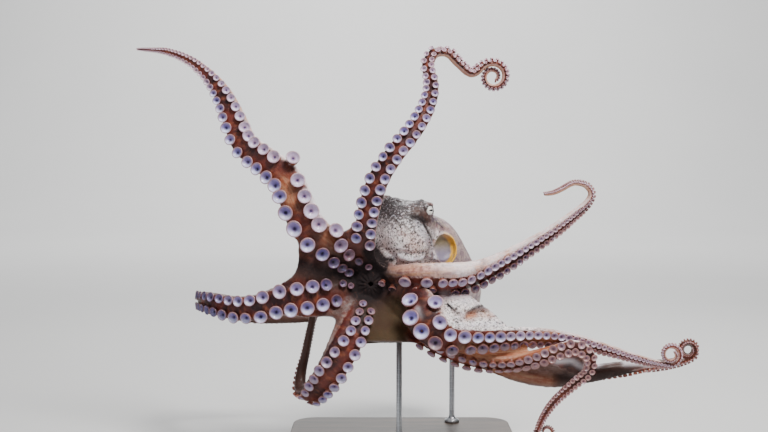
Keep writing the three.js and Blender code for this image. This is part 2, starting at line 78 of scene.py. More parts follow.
ARMS = {
    "arm_right_1": {
        "route": [
            (-50, -58, 260), (-51, -74, 290), (-46, -86, 335), (-32, -94, 379), (-9, -94, 415),
            (14, -88, 443), (32, -80, 474), (39, -74, 503), (34, -68, 533), (44, -64, 549),
            (61, -62, 549), (76, -60, 535), (94, -56, 522), (110, -54, 533),
        ],
        "facing": [
            (0, -0.1, -1, 0), (7, -0.1, -1, 0.1), (9, 0, -0.6, 0.8), (11, 0.6, -0.5, 0.6),
            (12, 0.2, -0.5, 0.85), (13, -0.3, -0.5, 0.8),
        ],
        "width": [
            (0, 26), (0.06, 34), (0.2, 35), (0.37, 29), (0.45, 26), (0.52, 22), (0.58, 18.5),
            (0.65, 17), (0.72, 15.5), (0.8, 13), (0.9, 10), (1, 6),
        ],
        "curl": {"axis": (0, 1, 0), "turn": 560, "from": 20, "to": 5, "rise": 6},
    },
    "arm_right_2": {
        "route": [
            (-69, -58, 258), (-95, -76, 284), (-123, -84, 311), (-140, -86, 345),
            (-154, -84, 378), (-183, -74, 403), (-212, -64, 426), (-226, -58, 456),
            (-238, -52, 483), (-257, -46, 512), (-288, -40, 539), (-324, -36, 553),
            (-364, -34, 556),
        ],
        "facing": [(0, 0, -1, 0), (3, 0.04, -1, 0), (12, 0.02, -1, 0)],
        "width": [
            (0, 30), (0.08, 48), (0.15, 57), (0.24, 55), (0.42, 45), (0.57, 40), (0.68, 30),
            (0.76, 20), (0.84, 14.5), (0.92, 10.5), (0.97, 7), (1, 3.5),
        ],
    },
    "arm_right_3": {
        "route": [
            (-66, -58, 233), (-98, -72, 225), (-131, -82, 220), (-164, -86, 216),
            (-194, -82, 207), (-225, -68, 204), (-256, -46, 208), (-277, -14, 208),
            (-285, 34, 199), (-260, 76, 180), (-216, 92, 168), (-168, 92, 167),
            (-124, 90, 167),
        ],
        "facing": [
            (0, 0, -1, 0.1), (5, 0, -1, 0), (6, -0.6, -0.75, 0), (8, -1, 0, 0),
            (9, -0.6, 0.7, 0), (11, 0, 1, 0),
        ],
        "width": [
            (0, 28), (0.055, 40), (0.13, 47), (0.2, 46), (0.27, 42), (0.365, 38), (0.455, 31),
            (0.55, 26), (0.68, 21), (0.82, 18), (0.93, 15), (1, 8),
        ],
    },
    "arm_right_4": {
        "route": [
            (-49, -58, 217), (-56, -76, 200), (-68, -90, 172), (-80, -94, 149), (-95, -88, 123),
            (-112, -74, 100), (-128, -58, 83), (-140, -40, 86), (-141, -28, 104),
            (-135, -22, 132), (-128, -22, 167), (-120, -24, 198), (-97, -20, 223),
        ],
        "facing": [
            (0, 0, -1, 0.15), (4, 0, -1, 0.05), (5, -0.1, -0.95, -0.3), (6, -0.3, -0.5, -0.8),
            (7, -0.5, 0.3, -0.8), (8, -0.3, 0.95, 0), (12, 0.3, 0.9, 0.3),
        ],
        "width": [
            (0, 28), (0.1, 38), (0.22, 46), (0.34, 46), (0.44, 40), (0.52, 29), (0.6, 19),
            (0.7, 14), (0.85, 12), (1, 5),
        ],
    },
    "arm_left_1": {
        "route": [
            (-25, -56, 245), (13, -74, 246), (51, -78, 245.5), (89, -70, 248), (129, -57, 262),
            (168, -50, 283), (205, -47, 306), (235, -45, 329), (254, -45, 346), (259, -46, 358),
            (251, -48, 370), (233, -50, 373), (217, -53, 365), (205, -56, 360), (191, -58, 358),
        ],
        "facing": [
            (0, 0, -0.8, -0.6), (1, 0, -0.75, -0.66), (3, 0, -0.75, -0.66),
            (4, 0.05, -0.8, -0.6), (5, 0.12, -0.84, -0.52), (6, 0.2, -0.85, -0.48),
            (7, 0.35, -0.8, -0.45), (8, 0.7, -0.6, -0.35), (9, 0.85, -0.5, 0),
            (10, 0.6, -0.5, 0.6), (11, 0, -0.5, 0.85), (14, -0.1, -0.4, 0.9),
        ],
        "width": [
            (0, 30), (0.1, 47), (0.18, 51), (0.27, 49), (0.36, 38.5), (0.5, 28), (0.65, 20),
            (0.79, 13), (0.88, 9.5), (0.95, 8.5), (1, 6.5),
        ],
    },
    "arm_left_2": {
        "route": [
            (-14, -62, 230), (9, -74, 226), (24, -92, 216), (28, -108, 200), (36, -113, 186),
            (51, -114, 174), (68, -112, 169), (88, -110, 169), (113, -106, 169),
            (149, -100, 170), (190, -94, 169), (238, -88, 161), (282, -84, 148),
            (329, -82, 134), (356, -82, 129),
        ],
        "facing": [
            (0, 0, -1, 0.1), (4, 0, -1, 0), (7, 0, -0.92, -0.4), (12, 0, -0.9, -0.42),
            (14, 0, -0.8, -0.6),
        ],
        "width": [
            (0, 30), (0.06, 38), (0.11, 48), (0.155, 60), (0.19, 55), (0.23, 47), (0.28, 41),
            (0.34, 37), (0.45, 29), (0.56, 23), (0.64, 18), (0.76, 13), (0.82, 11), (0.9, 9),
            (1, 5),
        ],
        "curl": {"axis": (0, -1, 0), "turn": 540, "from": 15, "to": 5, "rise": 9},
    },
    "arm_left_3": {
        "route": [
            (-25, -58, 217), (4, -66, 187), (34, -75, 162), (66, -82, 146), (103, -89, 136),
            (143, -98, 136), (176, -106, 143), (204, -114, 153), (227, -118, 159),
            (245, -116, 147), (245, -110, 127), (226, -104, 107), (206, -98, 87),
            (192, -94, 68), (182, -90, 45),
        ],
        "facing": [
            (0, 0, -0.9, -0.4), (2, 0, -0.62, -0.78), (5, 0, -0.62, -0.78), (7, 0, -1, 0),
            (14, 0, -1, 0.1),
        ],
        "width": [
            (0, 26), (0.1, 34), (0.3, 33), (0.4, 28), (0.5, 24), (0.6, 21), (0.67, 17.5),
            (0.73, 15.5), (0.8, 13.5), (0.88, 10), (1, 5),
        ],
        "curl": {"axis": (0, -1, 0), "turn": 400, "from": 13, "to": 4, "rise": -6},
    },
    "arm_left_4": {
        "route": [
            (-33, -54, 211), (-2, -40, 182), (38, -34, 158), (78, -34, 142), (122, -40, 126),
            (162, -48, 112), (205, -54, 106), (250, -56, 111), (297, -54, 118),
            (345, -50, 121), (379, -48, 126), (395, -46, 131),
        ],
        "facing": [
            (0, 0, -0.9, -0.4), (1, 0, 0.5, -0.85), (2, 0, 0.98, -0.2), (7, 0, 0.98, -0.2),
            (9, 0.1, -0.4, -0.9), (11, 0.2, -0.5, -0.85),
        ],
        "width": [
            (0, 26), (0.1, 34), (0.2, 33), (0.35, 32), (0.5, 31), (0.65, 26), (0.75, 22),
            (0.83, 18), (0.9, 13), (1, 6),
        ],
        "curl": {"axis": (0, -1, 0), "turn": 480, "from": 13, "to": 5, "rise": 8},
    },
}

# Two arms, how far out the web reaches along each, how deep its edge sags, its billow.
WEBS = [
    ("arm_right_1", "arm_right_2", 76, 66, 0.16, 5),
    ("arm_right_2", "arm_right_3", 86, 184, 0.34, 10),
    ("arm_right_3", "arm_right_4", 118, 176, 0.62, 5),
    ("arm_right_4", "arm_left_4", 70, 96, 0.02, 8),
    ("arm_right_4", "arm_left_3", 66, 84, 0.03, 10),
    ("arm_left_4", "arm_left_3", 306, 352, 0.03, 0),
    ("arm_left_3", "arm_left_2", 232, 240, 0.04, 2),
    ("arm_left_2", "arm_left_1", 205, 94, -0.07, 4),
    ("arm_left_1", "arm_right_1", 34, 34, 0.5, 4),
]
WEB_THICKNESS = 3.2
WEB_ROOT = 0.27  # how far from an arm's centreline its web starts, in arm widths

MOUTH = {"centre": (-42, -50, 236), "size": (36, 15, 36)}
ARM_BASE = {
    "route": [(-42, -44, 238), (-20, -16, 260), (0, -4, 292)],
    "radius": [(0, 27), (0.5, 29), (1, 32)],
}
HEAD = {"centre": (4, -4, 302), "size": (42, 48, 44)}
# A direction from the head's centre, a height and a spread in radians.
HEAD_MOUNDS = [
    ((27, -12, 32), 9, 0.42),
    ((-22, -2, 40), 8, 0.42),
    ((0.1, -0.75, -0.6), 8, 0.5),
    ((24, -16, 46), 4, 0.16),
]
EYE_RADIUS = 10.5
LID_THICKNESS = 2.1
EYE_SLIT = (9.5, 7, 11)
MOUTH_HOLE = {"centre": (-43, -63, 236), "size": (3.4, 11, 3)}
MOUTH_PLEATS = (14, 1.1, 10, 6)  # how many, how high, their distance from the middle, its spread
EYES = {
    "eye_left": {"centre": (32.4, -18.6, 334), "gaze": (0.83, -0.55, 0.06)},
    "eye_right": {"centre": (-24, -2, 342), "gaze": (-0.95, -0.2, 0.25)},
}
MANTLE = {
    "route": [(20, 8, 298), (41, 36, 275), (58, 64, 234), (75, 88, 184), (83, 100, 150)],
    "radius": [(0, 36), (0.16, 45), (0.28, 47), (0.42, 50), (0.55, 53), (0.7, 51), (0.86, 36),
               (0.96, 18), (1, 0)],
}
APERTURE = {"centre": (60, -8, 280), "size": (17, 10, 20.5), "lip": 2.4,
            "facing": (0.4, -0.9, 0.2)}
FUNNEL = {
    "route": [(20, 2, 262), (24, -8, 240), (30, -22, 222)],
    "radius": [(0, 17), (0.5, 13), (1, 8.5)],
    "bore": 5,
}
# The display base and its rods: where each rod stands and its top.
BASE = {"size": (320, 230, 14), "corner": 34, "bevel": 2}
ROD_RADIUS = 4
FOOT = {"radius": 11, "height": 9}
RODS = {
    "rod_front": ((-4, -34), 176),
    "rod_back": ((76, 82), 202),
}
# The studio, in metres: the floor's side, where its backdrop stands and how high that rises,
# and each soft light's place, what it looks at, its size and its colour.
FLOOR = {"size": 18, "back": 6.5, "rise": 5}
MIDDLE = (0.02, -0.03, 0.3)
LIGHTS = {
    "key": ((0.55, -1.0, 1.9), MIDDLE, 0.6, (1, 0.98, 0.95)),
    "fill": ((-1.3, -1.4, 0.7), MIDDLE, 1.2, (0.9, 0.94, 1)),
    "rim": ((0.2, 1.0, 1.5), MIDDLE, 0.9, (1, 1, 1)),
    "backdrop": ((0, 3.2, 4.2), (0, 6.5, 1.2), 3, (1, 1, 1)),
}
WORLD_COLOUR = (0.8, 0.84, 0.9)
WORLD_STRENGTH = 0.2


def at(point):
    """A point given in millimetres, in metres."""
    return Vector(point) * MM


# ---- Curves ----------------------------------------------------------------------------------


def heading(keys, place):
    """The direction at a place in a list of (place, x, y, z) keys."""
    places = [key[0] for key in keys]
    return Vector([np.interp(place, places, [key[i] for key in keys]) for i in (1, 2, 3)])


def wound(route, facing, curl=None):
    """An arm's centreline points and the way its suckers look at each, in millimetres."""
    points = [Vector(p) for p in route]
    looks = [heading(facing, i).normalized() for i in range(len(route))]
    if curl is None:
        return points, looks
    axis = Vector(curl["axis"])
    here = points[-1].copy()
    way = here - points[-2]
    way = (way - axis * way.dot(axis)).normalized()
    half = Matrix.Rotation(math.radians(CURL_STEP / 2), 3, axis)
    for turned in range(0, curl["turn"], CURL_STEP):
        share = turned / curl["turn"]
        radius = curl["from"] + (curl["to"] - curl["from"]) * share
        way = half @ way
        here = here + way * (2 * radius * math.sin(math.radians(CURL_STEP / 2)))
        here = here + axis * (curl["rise"] * CURL_STEP / curl["turn"])
        way = half @ way
        points.append(here.copy())
        looks.append((way.cross(axis) + VIEWER * 0.6).normalized())
    return points, looks


def curve_point(points, place):
    """A point of the centripetal curve through the points, at a place counted in points."""
    k = min(int(place), len(points) - 2)
    t = place - k
    p1, p2 = points[k], points[k + 1]
    p0 = points[k - 1] if k > 0 else p1 * 2 - p2
    p3 = points[k + 2] if k + 2 < len(points) else p2 * 2 - p1
    d0, d1, d2 = ((b - a).length ** 0.5 for a, b in ((p0, p1), (p1, p2), (p2, p3)))
    m1 = ((p1 - p0) / d0 - (p2 - p0) / (d0 + d1) + (p2 - p1) / d1) * d1
    m2 = ((p2 - p1) / d1 - (p3 - p1) / (d1 + d2) + (p3 - p2) / d2) * d1
    c2 = (p2 - p1) * 3 - m1 * 2 - m2
    c3 = (p1 - p2) * 2 + m1 + m2
    return p1 + m1 * t + c2 * t * t + c3 * t * t * t


class Line:
    """A curve sampled by the distance along it, in metres."""

    PER_SPAN = 12
    STEP = 1e-4

    def __init__(self, points, looks=None):
        rows = np.linspace(0, len(points) - 1, (len(points) - 1) * self.PER_SPAN + 1)
        last = len(points) - 1
        self.centre = np.array([curve_point(points, row) for row in rows]) * MM
        before = np.array([curve_point(points, max(row - self.STEP, 0)) for row in rows])
        after = np.array([curve_point(points, min(row + self.STEP, last)) for row in rows])
        self.out = unit(after - before)
        steps = np.linalg.norm(np.diff(self.centre, axis=0), axis=1)
        self.far = np.concatenate([[0], np.cumsum(steps)])
        self.length = self.far[-1]
        if looks is not None:
            looks = np.array(looks)
            spans = range(len(points))
            self.look = np.stack([np.interp(rows, spans, looks[:, i]) for i in range(3)], 1)

    def along(self, column, distance):
        """A column of the table at one distance or at several."""
        return np.stack([np.interp(distance, self.far, column[:, i]) for i in range(3)], -1)


class Arm(Line):
    """An arm's centreline with the way its suckers look and its width."""

    def __init__(self, route, facing, width, curl=None):
        super().__init__(*wound(route, facing, curl))
        self.widths = np.array(width)

    def station(self, distance):
        """Centre, way out, way of the suckers, way across and width at some distances."""
        distance = np.asarray(distance, float)
        centre = self.along(self.centre, distance)
        out = unit(self.along(self.out, distance))
        oral = self.along(self.look, distance)
        oral = unit(oral - out * np.sum(oral * out, axis=-1, keepdims=True))
        side = np.cross(oral, out)
        share = distance / self.length
        width = np.interp(share, self.widths[:, 0], self.widths[:, 1]) * MM
        return centre, out, oral, side, width


def unit(vectors):
    """The vectors, each made one long."""
    return vectors / np.linalg.norm(vectors, axis=-1, keepdims=True)


def smooth_profile(pairs, shares):
    """The values at some shares of a smooth profile through (share, value) pairs."""
    x, y = np.array(pairs, float).T
    slope = np.gradient(y, x)
    k = np.clip(np.searchsorted(x, shares, side="right") - 1, 0, len(x) - 2)
    span = x[k + 1] - x[k]
    t = (shares - x[k]) / span
    low, high = y[k], y[k + 1]
    m0, m1 = slope[k] * span, slope[k + 1] * span
    cubic = (2 * t**3 - 3 * t**2 + 1) * low + (t**3 - 2 * t**2 + t) * m0
    return cubic + (3 * t**2 - 2 * t**3) * high + (t**3 - t**2) * m1


def smoothstep(low, high, value):
    """0 below low, 1 above high, and a soft step between."""
    t = np.clip((value - low) / (high - low), 0, 1)
    return t * t * (3 - 2 * t)


def smooth_shaded(piece):
    """Lets light run smoothly over the piece's faces."""
    piece.data.shade_smooth()


ARM_LINES = {name: Arm(**arm) for name, arm in ARMS.items()}

# ---- Meshes ----------------------------------------------------------------------------------


def new_piece(name, bm):
    """The bmesh as an object at the origin."""
    mesh = bpy.data.meshes.new(name)
    bm.to_mesh(mesh)
    bm.free()
    piece = bpy.data.objects.new(name, mesh)
    bpy.context.scene.collection.objects.link(piece)
    return piece


def shaped(piece, *modifiers):
    """Applies modifiers, each a type and its settings, to the piece's mesh."""
    for kind, settings in modifiers:
        modifier = piece.modifiers.new(kind.lower(), kind)
        for name, value in settings.items():
            setattr(modifier, name, value)
    bpy.context.view_layer.update()
    graph = bpy.context.evaluated_depsgraph_get()
    old = piece.data
    piece.data = bpy.data.meshes.new_from_object(piece.evaluated_get(graph))
    piece.data.name = piece.name
    piece.modifiers.clear()
    bpy.data.meshes.remove(old)
    return piece


def discard(*pieces):
    """Removes helper objects."""
    for piece in pieces:
        mesh = piece.data
        bpy.data.objects.remove(piece)
        bpy.data.meshes.remove(mesh)


def laid_grid(bm, places):
    """A grid of faces whose corners lie at places, an array of rows by columns of points."""
    rows, columns = places.shape[:2]
    made = bmesh.ops.create_grid(bm, x_segments=columns - 1, y_segments=rows - 1, size=0.5)
    for vert in made["verts"]:
        column = round((vert.co.x + 0.5) * (columns - 1))
        row = round((vert.co.y + 0.5) * (rows - 1))
        vert.co = places[row, column]
    return made["verts"]


def laid_tube(bm, places):
    """A closed tube through rings of points, an array of rings by sides."""
    places = np.concatenate([places, places[:, :1]], axis=1)
    verts = laid_grid(bm, places)
    bmesh.ops.remove_doubles(bm, verts=verts, dist=1e-6)
    verts = [vert for vert in verts if vert.is_valid]
    edges = {edge for vert in verts for edge in vert.link_edges if edge.is_boundary}
    bmesh.ops.holes_fill(bm, edges=list(edges), sides=0)
    faces = {face for vert in verts for face in vert.link_faces}
    bmesh.ops.recalc_face_normals(bm, faces=list(faces))
    return verts


def sac_rings(route, radius, turns, bands, wall=0.0):
    """Rings of a round body along a route, its radius given over its length."""
    line = Line([Vector(p) for p in route])
    shares = np.sin(np.linspace(0, math.pi / 2, bands + 1))
    centre = line.along(line.centre, shares * line.length)
    way = unit(line.along(line.out, shares * line.length))
    across = np.array([1.0, 0, 0])
    side = unit(across - way * (way @ across)[:, None])
    up = np.cross(way, side)
    reach = (smooth_profile(radius, shares) - wall) * MM
    reach = np.maximum(reach, 0)
    angle = np.linspace(0, 2 * math.pi, turns, endpoint=False)
    ring = side[:, None] * np.cos(angle)[:, None] + up[:, None] * np.sin(angle)[:, None]
    return centre[:, None] + ring * reach[:, None, None]


def ellipsoid(bm, centre, size, axes=None, turns=40, bands=28):
    """An ellipsoid by its half sizes in metres, turned to the axes if they are given."""
    matrix = Matrix.Translation(centre)
    if axes is not None:
        matrix = matrix @ axes.to_4x4()
    matrix = matrix @ Matrix.Diagonal((*size, 1))
    made = bmesh.ops.create_uvsphere(
        bm, u_segments=turns, v_segments=bands, radius=1, matrix=matrix)
    return made["verts"]


def facing_axes(way):
    """Axes with z along the way and x level."""
    z = Vector(way).normalized()
    x = UP.cross(z).normalized()
    y = z.cross(x)
    return Matrix((x, y, z)).transposed()


def head_radius(way):
    """The head's radius in metres from its centre in some directions."""
    half = np.array(HEAD["size"]) * MM
    radius = 1 / np.linalg.norm(way / half, axis=-1)
    for direction, height, spread in HEAD_MOUNDS:
        angle = np.arccos(np.clip(way @ unit(np.array(direction, float)), -1, 1))
        radius = radius + height * MM * np.exp(-((angle / spread) ** 2))
    return radius


# ---- Skin ------------------------------------------------------------------------------------

ARM_SIDES = 30
DUSKY_ARMS = ("arm_right_3", "arm_right_4", "arm_left_4")  # brown on the back
# Where the pale skin of the first left arm ends above its upper row of suckers: distance out
# in metres and place across in half widths.
PALE_FLANK = [(0.03, 0.42), (0.12, 0.4), (0.15, 0.58), (0.4, 0.62)]
SKIN_VOXEL = 1.25
DETAIL_VOXEL = 0.8  # for what is added to the body and cut out of it
SKIN_TRIANGLES = 186000
JOIN_ROUNDS = 14  # of smoothing where head, mantle and crown join
SOFT_LEVELS = 8  # of smoothing between the arms and the rest
STATION_GAP = 1.4  # between the stations that places on an arm are looked up in
# From which share of its length the back of a right arm and of a left arm turns rusty.
RUSTY_FROM = (0.5, 0.72)
ATTRIBUTES = (
    "oral", "speck", "grey", "olive", "purple", "dark", "pale", "rust", "gold", "bowl", "brown")

# Folds of the web between the second and first left arms, pushed towards the viewer.
# Each fold is a route in millimetres, its half width and its height.
WEB_FOLDS = [
    ([(72, -90, 193), (84, -90, 203), (97, -90, 210), (112, -90, 212), (124, -90, 206)], 4.5, 4),
    ([(88, -90, 199), (101, -90, 202), (116, -90, 200)], 6, -9),
    ([(78, -90, 186), (100, -90, 187), (120, -90, 188), (132, -90, 193)], 5, 3),
    ([(58, -90, 214), (66, -90, 206), (73, -90, 200)], 3, -6),
    ([(66, -90, 220), (84, -90, 217)], 5, 3),
]
# The same for the whole skin, pushed out along it.
SKIN_FOLDS = [
    ([(28, -20, 352)], 3.2, 5.5),
    ([(-8, -12, 350), (-18, -8, 352)], 6, 3),
    ([(21, -45, 318), (31, -42, 304), (39, -32, 290), (43, -24, 276), (44, -20, 264)], 3.4, 4.4),
    ([(29, -44, 316), (38, -37, 302), (46, -26, 290), (49, -20, 276)], 2.4, -3),
    ([(-15, -48, 270), (3, -50, 269), (20, -44, 268), (36, -26, 268), (44, -16, 266)], 4, 5),
    ([(-12, -46, 279), (4, -52, 278), (22, -44, 277), (34, -30, 276)], 2.6, -1.6),
    ([(20, -36, 341), (24, -37, 331), (32, -35, 323), (41, -28, 321)], 2.0, 1.6),
    ([(16, -37, 343), (18, -42, 327), (28, -41, 316)], 1.7, 1.2),
    ([(24, -34, 345), (34, -28, 346), (42, -20, 343)], 2.2, 1.8),
    ([(-12, -40, 338), (-2, -42, 344), (8, -38, 346)], 3.0, 1.6),
    ([(-36, -54, 274), (-28, -50, 266), (-20, -50, 257)], 6, -6),
    ([(52, -8, 316), (66, 4, 308)], 7, 2.5),
]
BRUSH_DEPTH = 0.2  # what distances towards the viewer count for a marking
# Markings, painted shade and painted highlights: a route, its half width and its strength.
# They are laid on from in front. The dark and brown strokes are mostly painted shade, in the
# crown round the mouth, the cleft below the head, the arms' roots and the creases of the folds,
# with a few dark patches of the skin itself; the pale strokes are partly painted highlights on
# lit edges and folds and partly pale skin.
BRUSHES = {
    "dark": [
        ([(14, -40, 327), (22, -40, 325), (30, -40, 320)], 5, 1.0),
        ([(29, -40, 318), (36, -36, 304), (42, -30, 293), (46, -26, 282)], 2.4, 1.0),
        ([(-43, -60, 281), (-36, -60, 271), (-29, -60, 263)], 10, 2.6),
        ([(-26, -60, 268), (-14, -58, 268)], 5, 1.5),
        ([(-136, -76, 266), (-112, -76, 256), (-96, -72, 250)], 16, 0.9),
        ([(220, -60, 112), (270, -60, 108), (306, -58, 114)], 12, 0.75),
        ([(24, -110, 217), (27, -110, 196)], 6, 0.7),
        ([(-50, -76, 214), (-60, -84, 194)], 9, 0.8),
        ([(-8, -60, 263), (30, -60, 263)], 1.6, 1.1),
        ([(60, -90, 212), (67, -90, 206), (73, -90, 200)], 1.8, 1.4),
        ([(86, -90, 203), (97, -90, 209), (112, -90, 212), (124, -90, 205)], 1.8, 1.1),
        ([(-48, -66, 240)], 30, 2.0),
        ([(-84, -70, 256), (-66, -66, 244)], 24, 1.1),
        ([(-62, -70, 250), (-46, -66, 256)], 10, 0.9),
        ([(-36, -60, 222), (-22, -60, 232)], 12, 0.8),
        ([(46, -5, 318), (56, -5, 311)], 5, 0.55),
        ([(-132, -86, 116), (-126, -80, 92), (-136, -50, 86)], 12, 0.6),
    ],
    "brown": [
        ([(20, -40, 333), (30, -36, 328), (34, -34, 322)], 8, 1.0),
        ([(-43, -66, 240)], 32, 1.0),
        ([(-108, -78, 300), (-90, -76, 276)], 20, 0.8),
        ([(-66, -70, 250), (-90, -74, 246), (-112, -76, 250)], 20, 0.95),
        ([(-47, -70, 262), (-50, -72, 285)], 13, 0.6),
        ([(220, -60, 112), (270, -60, 108), (306, -58, 114)], 13, 1.0),
        ([(86, -90, 201), (97, -90, 206), (112, -90, 209), (124, -90, 203)], 2.6, 0.7),
        ([(90, -100, 150), (130, -105, 148), (165, -105, 152), (195, -110, 162)], 12, 0.5),
    ],
    "pale": [
        ([(20, -42, 319), (29, -40, 308), (35, -36, 298), (41, -30, 287), (45, -24, 266)], 3.2, 1.2),
        ([(40, -32, 285), (44, -24, 268)], 5, 1.3),
        ([(24, -42, 312), (34, -38, 298), (42, -30, 282)], 5, 1.0),
        ([(-130, -84, 362), (-104, -84, 328)], 5, 1.0),
        ([(20, -108, 209), (24, -108, 200)], 3.5, 0.7),
        ([(-12, -50, 270), (3, -50, 269), (20, -44, 268), (36, -26, 268), (44, -16, 266)], 4, 1.0),
        ([(-24, -48, 306), (-16, -48, 288), (-8, -50, 276)], 12, 0.5),
        ([(56, -60, 222), (84, -75, 219), (102, -85, 214)], 7, 0.6),
        ([(78, -93, 187), (104, -93, 187), (128, -90, 188)], 4, 0.8),
        ([(207, -85, 135), (225, -85, 138), (241, -85, 128)], 4.5, 1.0),
        ([(266, -60, 126), (275, -60, 132), (286, -60, 133)], 4, 0.9),
        ([(304, -55, 127), (323, -55, 128), (343, -55, 124)], 3.5, 0.9),
        ([(-243, -78, 226), (-229, -78, 230), (-211, -78, 230), (-193, -78, 234)], 3.4, 1.3),
        ([(38, -14, 305), (52, -10, 302), (64, -8, 300)], 6, 0.45),
    ],
    "rust": [
        ([(86, -90, 196), (96, -90, 199)], 5, 1.0),
        ([(100, -90, 200), (118, -90, 198)], 5, 0.5),
        ([(-10, -70, 261), (14, -74, 258), (40, -72, 256), (62, -70, 254)], 7, 0.75),
        ([(44, -8, 290), (45, -8, 276)], 3.5, 0.8),
        ([(3, -50, 302), (20, -50, 284)], 10, 0.25),
        ([(40, 0, 309), (52, 0, 305), (66, 0, 302)], 7, 0.35),
        ([(90, -100, 150), (130, -105, 150), (165, -105, 155), (195, -110, 165)], 14, 1.1),
        ([(120, -60, 118), (170, -70, 108), (200, -70, 104)], 8, 0.6),
        ([(-150, -84, 352), (-158, -84, 372)], 13, 0.75),
        ([(-100, -78, 300), (-86, -76, 290)], 10, 0.6),
    ],
    "purple": [
        ([(46, -5, 318), (56, -5, 311)], 8, 1.2),
    ],
}


def near(places, route):
    """How far each of the places is from a route given in millimetres."""
    points = np.array(route, float) * MM
    if len(points) == 1:
        return np.linalg.norm(places - points[0], axis=-1)
    best = np.full(places.shape[:-1], np.inf)
    for start, end in zip(points, points[1:]):
        way = end - start
        share = np.clip((places - start) @ way / (way @ way), 0, 1)
        away = np.linalg.norm(places - start - share[..., None] * way, axis=-1)
        best = np.minimum(best, away)
    return best


def arm_rings(arm):
    """Rings of an arm's flesh: round behind, flattened in front, rounded off at the tip."""
    distances = [0.0]
    while distances[-1] < arm.length:
        width = float(arm.station(distances[-1])[4])
        distances.append(distances[-1] + max(0.1 * width, 0.7 * MM))
    distances = np.array(distances[:-1] + [arm.length])
    centre, _, oral, side, width = arm.station(distances)
    end = width[-1] / 2
    left = np.clip((arm.length - distances) / end, 0, 1)
    width = width * np.sqrt(np.clip(1 - (1 - left) ** 2, 0.02, 1))
    angle = np.linspace(0, 2 * math.pi, ARM_SIDES, endpoint=False)
    across = np.cos(angle) * FLESH_WIDTH / 2
    front = np.sin(angle)
    depth = np.where(front > 0, FLESH_FRONT * np.abs(front) ** 0.6, FLESH_BACK * front)
    return (centre[:, None] + side[:, None] * (across * width[:, None])[..., None]
            + oral[:, None] * (depth * width[:, None])[..., None])


def beside(way, out):
    """The part of each way that is square to the way out, one long where that is all of it."""
    across = way - out * np.sum(way * out, axis=-1, keepdims=True)
    return across / np.maximum(np.linalg.norm(way, axis=-1, keepdims=True), MM)


def web_places(first, second, reach_first, reach_second, sag, billow, across=48, out=48):
    """The middle surface of the web between two arms, as rows of points."""
    u = np.linspace(0, 1, across + 1)
    v = np.linspace(0, 1, out + 1)[:, None]
    bow = 4 * u * (1 - u)
    reach = v * (1 - sag * bow)
    start, out_start, _, _, width_start = ARM_LINES[first].station(reach * reach_first * MM)
    end, out_end, _, _, width_end = ARM_LINES[second].station(reach * reach_second * MM)
    way = end - start
    start = start + beside(way, out_start) * (WEB_ROOT * width_start * v)[..., None]
    end = end - beside(way, out_end) * (WEB_ROOT * width_end * v)[..., None]
    places = start + (end - start) * u[None, :, None]
    places = places + np.array(VIEWER) * (billow * MM * bow * reach)[..., None]
    if {first, second} == {"arm_left_1", "arm_left_2"}:
        flat = places * (1, 0, 1)
        for route, radius, height in WEB_FOLDS:
            away = near(flat, [(x, 0, z) for x, _, z in route])
            push = height * MM * np.exp(-((away / (radius * MM)) ** 2))
            places = places + np.array(VIEWER) * (push * np.minimum(bow * 2, 1))[..., None]
        back = -24 * MM * smoothstep(0.5, 0.9, u) * np.minimum(v * 3, 1)
        places = places + np.array(VIEWER) * back[..., None]
    return places


def web_rings(*shape):
    """A web as rings round its sections, thinner towards its free edge."""
    places = web_places(*shape)
    down, over = np.gradient(places, axis=0), np.gradient(places, axis=1)
    rows = len(places)
    half = WEB_THICKNESS / 2 * MM * np.linspace(1.25, 0.85, rows)[:, None, None]
    half = unit(np.cross(down, over)) * half
    return np.concatenate([places + half, (places - half)[::-1]]).transpose(1, 0, 2)


def body_bmesh():
    """All the flesh as overlapping closed bodies."""
    bm = bmesh.new()
    for arm in ARM_LINES.values():
        laid_tube(bm, arm_rings(arm))
    for shape in WEBS:
        laid_tube(bm, web_rings(*shape))
    laid_tube(bm, sac_rings(**ARM_BASE, turns=40, bands=16))
    laid_tube(bm, sac_rings(**MANTLE, turns=64, bands=48))
    laid_tube(bm, sac_rings(FUNNEL["route"], FUNNEL["radius"], 32, 16))
    ellipsoid(bm, at(MOUTH["centre"]), at(MOUTH["size"]))
    head = ellipsoid(bm, Vector(), (1, 1, 1), turns=80, bands=60)
    centre = at(HEAD["centre"])
    for vert in head:
        way = vert.co.normalized()
        vert.co = centre + way * float(head_radius(np.array(way)))
    return bm


def added_bmesh():
    """What is added to the smoothed body: the eyelids and the lip of the mantle's opening."""
    bm = bmesh.new()
    width, _, height = APERTURE["size"]
    ring = bmesh.ops.create_circle(
        bm, segments=16, radius=APERTURE["lip"] / width,
        matrix=Matrix.Translation((1, 0, 0)) @ Matrix.Rotation(math.pi / 2, 4, "X"))
    geom = ring["verts"] + list({edge for vert in ring["verts"] for edge in vert.link_edges})
    bmesh.ops.spin(bm, geom=geom, cent=(0, 0, 0), axis=(0, 0, 1), angle=2 * math.pi,
                   steps=64, use_merge=True)
    turn = facing_axes(APERTURE["facing"]).to_4x4()
    matrix = Matrix.Translation(at(APERTURE["centre"])) @ turn
    matrix = matrix @ Matrix.Diagonal((width * MM, height * MM, width * MM, 1))
    bmesh.ops.transform(bm, matrix=matrix, verts=bm.verts)
    for eye in EYES.values():
        ellipsoid(bm, at(eye["centre"]), (EYE_RADIUS * MM + LID_THICKNESS * MM,) * 3)
    bmesh.ops.recalc_face_normals(bm, faces=bm.faces)
    return bm


